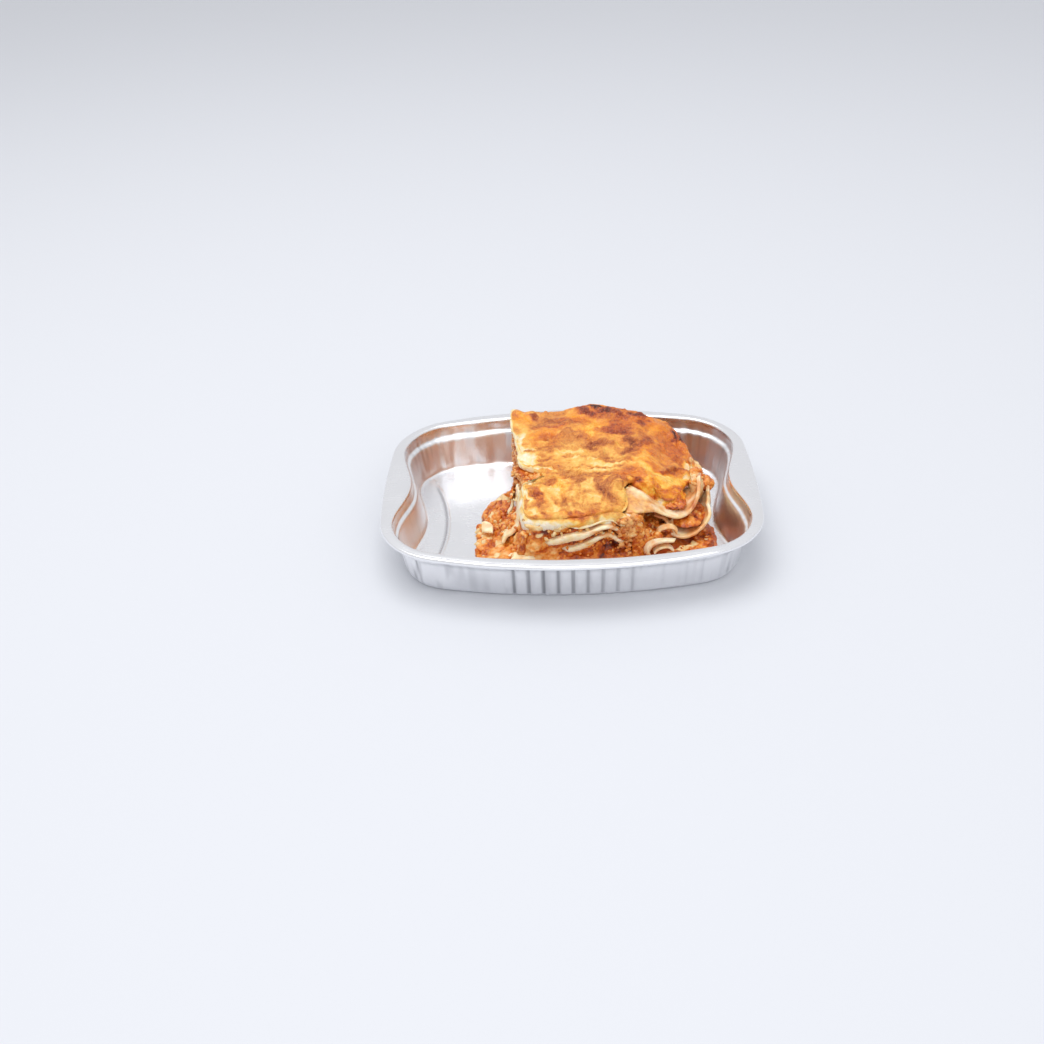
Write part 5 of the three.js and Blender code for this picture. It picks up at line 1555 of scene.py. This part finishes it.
def loose_mince():
    """Lumps and grains of mince and bits of white sauce on the meat sauce that shows, half sunk into it."""
    random = np.random.default_rng(7)
    for name, kind, count, (least, most), finish, ball in [
        ("mince_heap", ON_HEAP, 300, (1.0, 2.1), RAGU_FINISH, SMALL_BALL),
        ("lumps_heap", ON_HEAP, 70, (2.0, 3.2), RAGU_FINISH, LARGE_BALL),
        ("white_bits", ON_HEAP, 54, (0.9, 2.0), WHITE_FINISH, LARGE_BALL),
        ("mince_pads", ON_PAD, 36, (0.9, 1.8), RAGU_FINISH, SMALL_BALL),
        ("mince_block", ON_BLOCK, 700, (0.9, 1.9), MINCE_FINISH, SMALL_BALL),
    ]:
        points, normals = (np.concatenate([spot[k] for spot in GRAIN_SPOTS if spot[2] == kind])
                           for k in (0, 1))
        chosen = random.choice(len(points), count, replace=False)
        size = random.uniform(least, most, size=count)
        places = points[chosen] + normals[chosen] * (size * random.uniform(-0.6, 0, size=count))[:, None]
        places[:, 2] = np.maximum(places[:, 2], FOIL + 0.4 + size * 0.9)
        scattered(name, places, size, finish, 8, ball, (0.42, 0.85))


def chunks_at_front():
    """Chunks and crumbs that hang on the cut front, spread about a middle with a normal distribution:
    browned mince over its right half and at its right corner, and bits of white sauce. Higher ones stand
    out less."""
    random = np.random.default_rng(11)
    for name, count, (least, most), finish, (cx, cz), (wx, wz), out in [
        ("chunks_front", 70, (1.4, 2.8), MINCE_FINISH, (35, 21), (4.2, 5), 0),
        ("crumbs_front", 110, (0.7, 1.4), RAGU_FINISH, (24, 19), (16, 7), 0),
        ("white_front", 22, (0.9, 2.0), WHITE_FINISH, (8, 23), (22, 3.4), 0.2),
        ("chunks_at_corner", 64, (1.4, 3.2), RAGU_FINISH, (40.4, 14), (0.8, 6.5), 0.8),
    ]:
        x = np.clip(cx + wx * random.normal(size=count), -22, 41)
        z = np.clip(cz + wz * random.normal(size=count), 5, 28)
        angle = np.arctan2(-48, x - BLOCK_CENTRE[0])
        far = BLOCK_REACH(angle) + out + 2.4 * (1 - z / 30) + random.uniform(-0.4, 1.3, size=count)
        places = flat(BLOCK_CENTRE[0] + far * np.cos(angle), BLOCK_CENTRE[1] + far * np.sin(angle), z)
        scattered(name, places, random.uniform(least, most, size=count), finish, 12, LARGE_BALL, (0.45, 0.85))


def lumps_on_hanging_sheet():
    """Mince and white sauce on the back part of the sheet that hangs at the left. Its front edge stays
    bare."""
    random = np.random.default_rng(15)
    entry = STRIPS["pasta_sheet_left"]
    for name, count, (least, most), finish in [
        ("lumps_on_sheet", 80, (1.3, 2.4), RAGU_FINISH), ("white_on_sheet", 22, (0.8, 1.6), WHITE_FINISH),
    ]:
        near = spline(entry["near"], random.uniform(0.42, 1, size=count))
        share = random.uniform(0.3, 1, size=(count, 1))
        far = spline(entry["far"], random.uniform(0.42, 1, size=count))
        places = near * (1 - share) + far * share + [-0.6, -0.3, 0.8]
        scattered(name, places, random.uniform(least, most, size=count), finish, 16, LARGE_BALL, (0.45, 0.8))


loose_mince()
chunks_at_front()
lumps_on_hanging_sheet()


# ------------------------------------------------------------------ floor, light and camera
FLOOR_HALF = 9000
FLOOR_LINES = 19


def floor():
    """A wide pale floor, a flat grid whose far edge is out of sight."""
    finish = Finish("pale_floor", base_color=tint(219, 221, 226), roughness=0.55, specular_ior_level=0.3)
    side = np.linspace(-FLOOR_HALF, FLOOR_HALF, FLOOR_LINES)
    x, y = np.meshgrid(side, side)
    points = flat(x, y, -0.05).reshape(-1, 3)
    mesh = bpy.data.meshes.new("floor")
    first = np.arange(FLOOR_LINES - 1)
    corner = (first[:, None] * FLOOR_LINES + first).reshape(-1, 1)
    quads = corner + np.array([0, 1, FLOOR_LINES + 1, FLOOR_LINES])
    mesh.from_pydata((points * MM).tolist(), [], quads.tolist())
    mesh.materials.append(finish.material)
    piece = bpy.data.objects.new("floor", mesh)
    bpy.context.scene.collection.objects.link(piece)


def studio_light():
    """A wide soft light above and a fill from the front, in an evenly pale room. Sizes here are in
    metres."""
    for label, place, size, power in [
        ("key_light", (-0.25, 0.1, 1.6), 1.5, 13.5), ("fill_light", (0.5, -1.4, 1.2), 1.4, 5),
    ]:
        lamp = bpy.data.lights.new(label, "AREA")
        lamp.shape = "DISK"
        lamp.size = size
        lamp.energy = power
        lamp_object = bpy.data.objects.new(label, lamp)
        lamp_object.location = place
        lamp_object.rotation_euler = (Vector(place) * -1).to_track_quat("-Z", "Y").to_euler()
        bpy.context.scene.collection.objects.link(lamp_object)
    world = bpy.data.worlds.new("studio")
    world.use_nodes = True
    bpy.context.scene.world = world
    background = world.node_tree.nodes["Background"]
    background.inputs["Color"].default_value = (0.96, 0.97, 1.0, 1)
    background.inputs["Strength"].default_value = 0.76


EYE = (-9.0, -663.7, 421.9)
EYE_RIGHT = (0.9993, 0.0089, -0.0358)
EYE_UP = (0.0255, 0.5354, 0.8442)
FOCAL_PIXELS = 1265
FRAME_PIXELS = 1044  # the width of the finished frame


def camera():
    """The camera looks down on the tray from the front. Its axes lean a little, since the tray was
    tilted."""
    place = Vector(EYE) * MM
    right = Vector(EYE_RIGHT).normalized()
    back = right.cross(Vector(EYE_UP)).normalized()
    up = back.cross(right)
    data = bpy.data.cameras.new("camera")
    data.sensor_width = 36
    data.lens = data.sensor_width * FOCAL_PIXELS / FRAME_PIXELS
    data.clip_start, data.clip_end = 0.01, 40
    eye = bpy.data.objects.new("camera", data)
    eye.matrix_world = Matrix((
        (right.x, up.x, back.x, place.x), (right.y, up.y, back.y, place.y),
        (right.z, up.z, back.z, place.z), (0, 0, 0, 1),
    ))
    bpy.context.scene.collection.objects.link(eye)
    bpy.context.scene.camera = eye


floor()
studio_light()
camera()
bpy.context.scene.view_settings.view_transform = "Standard"
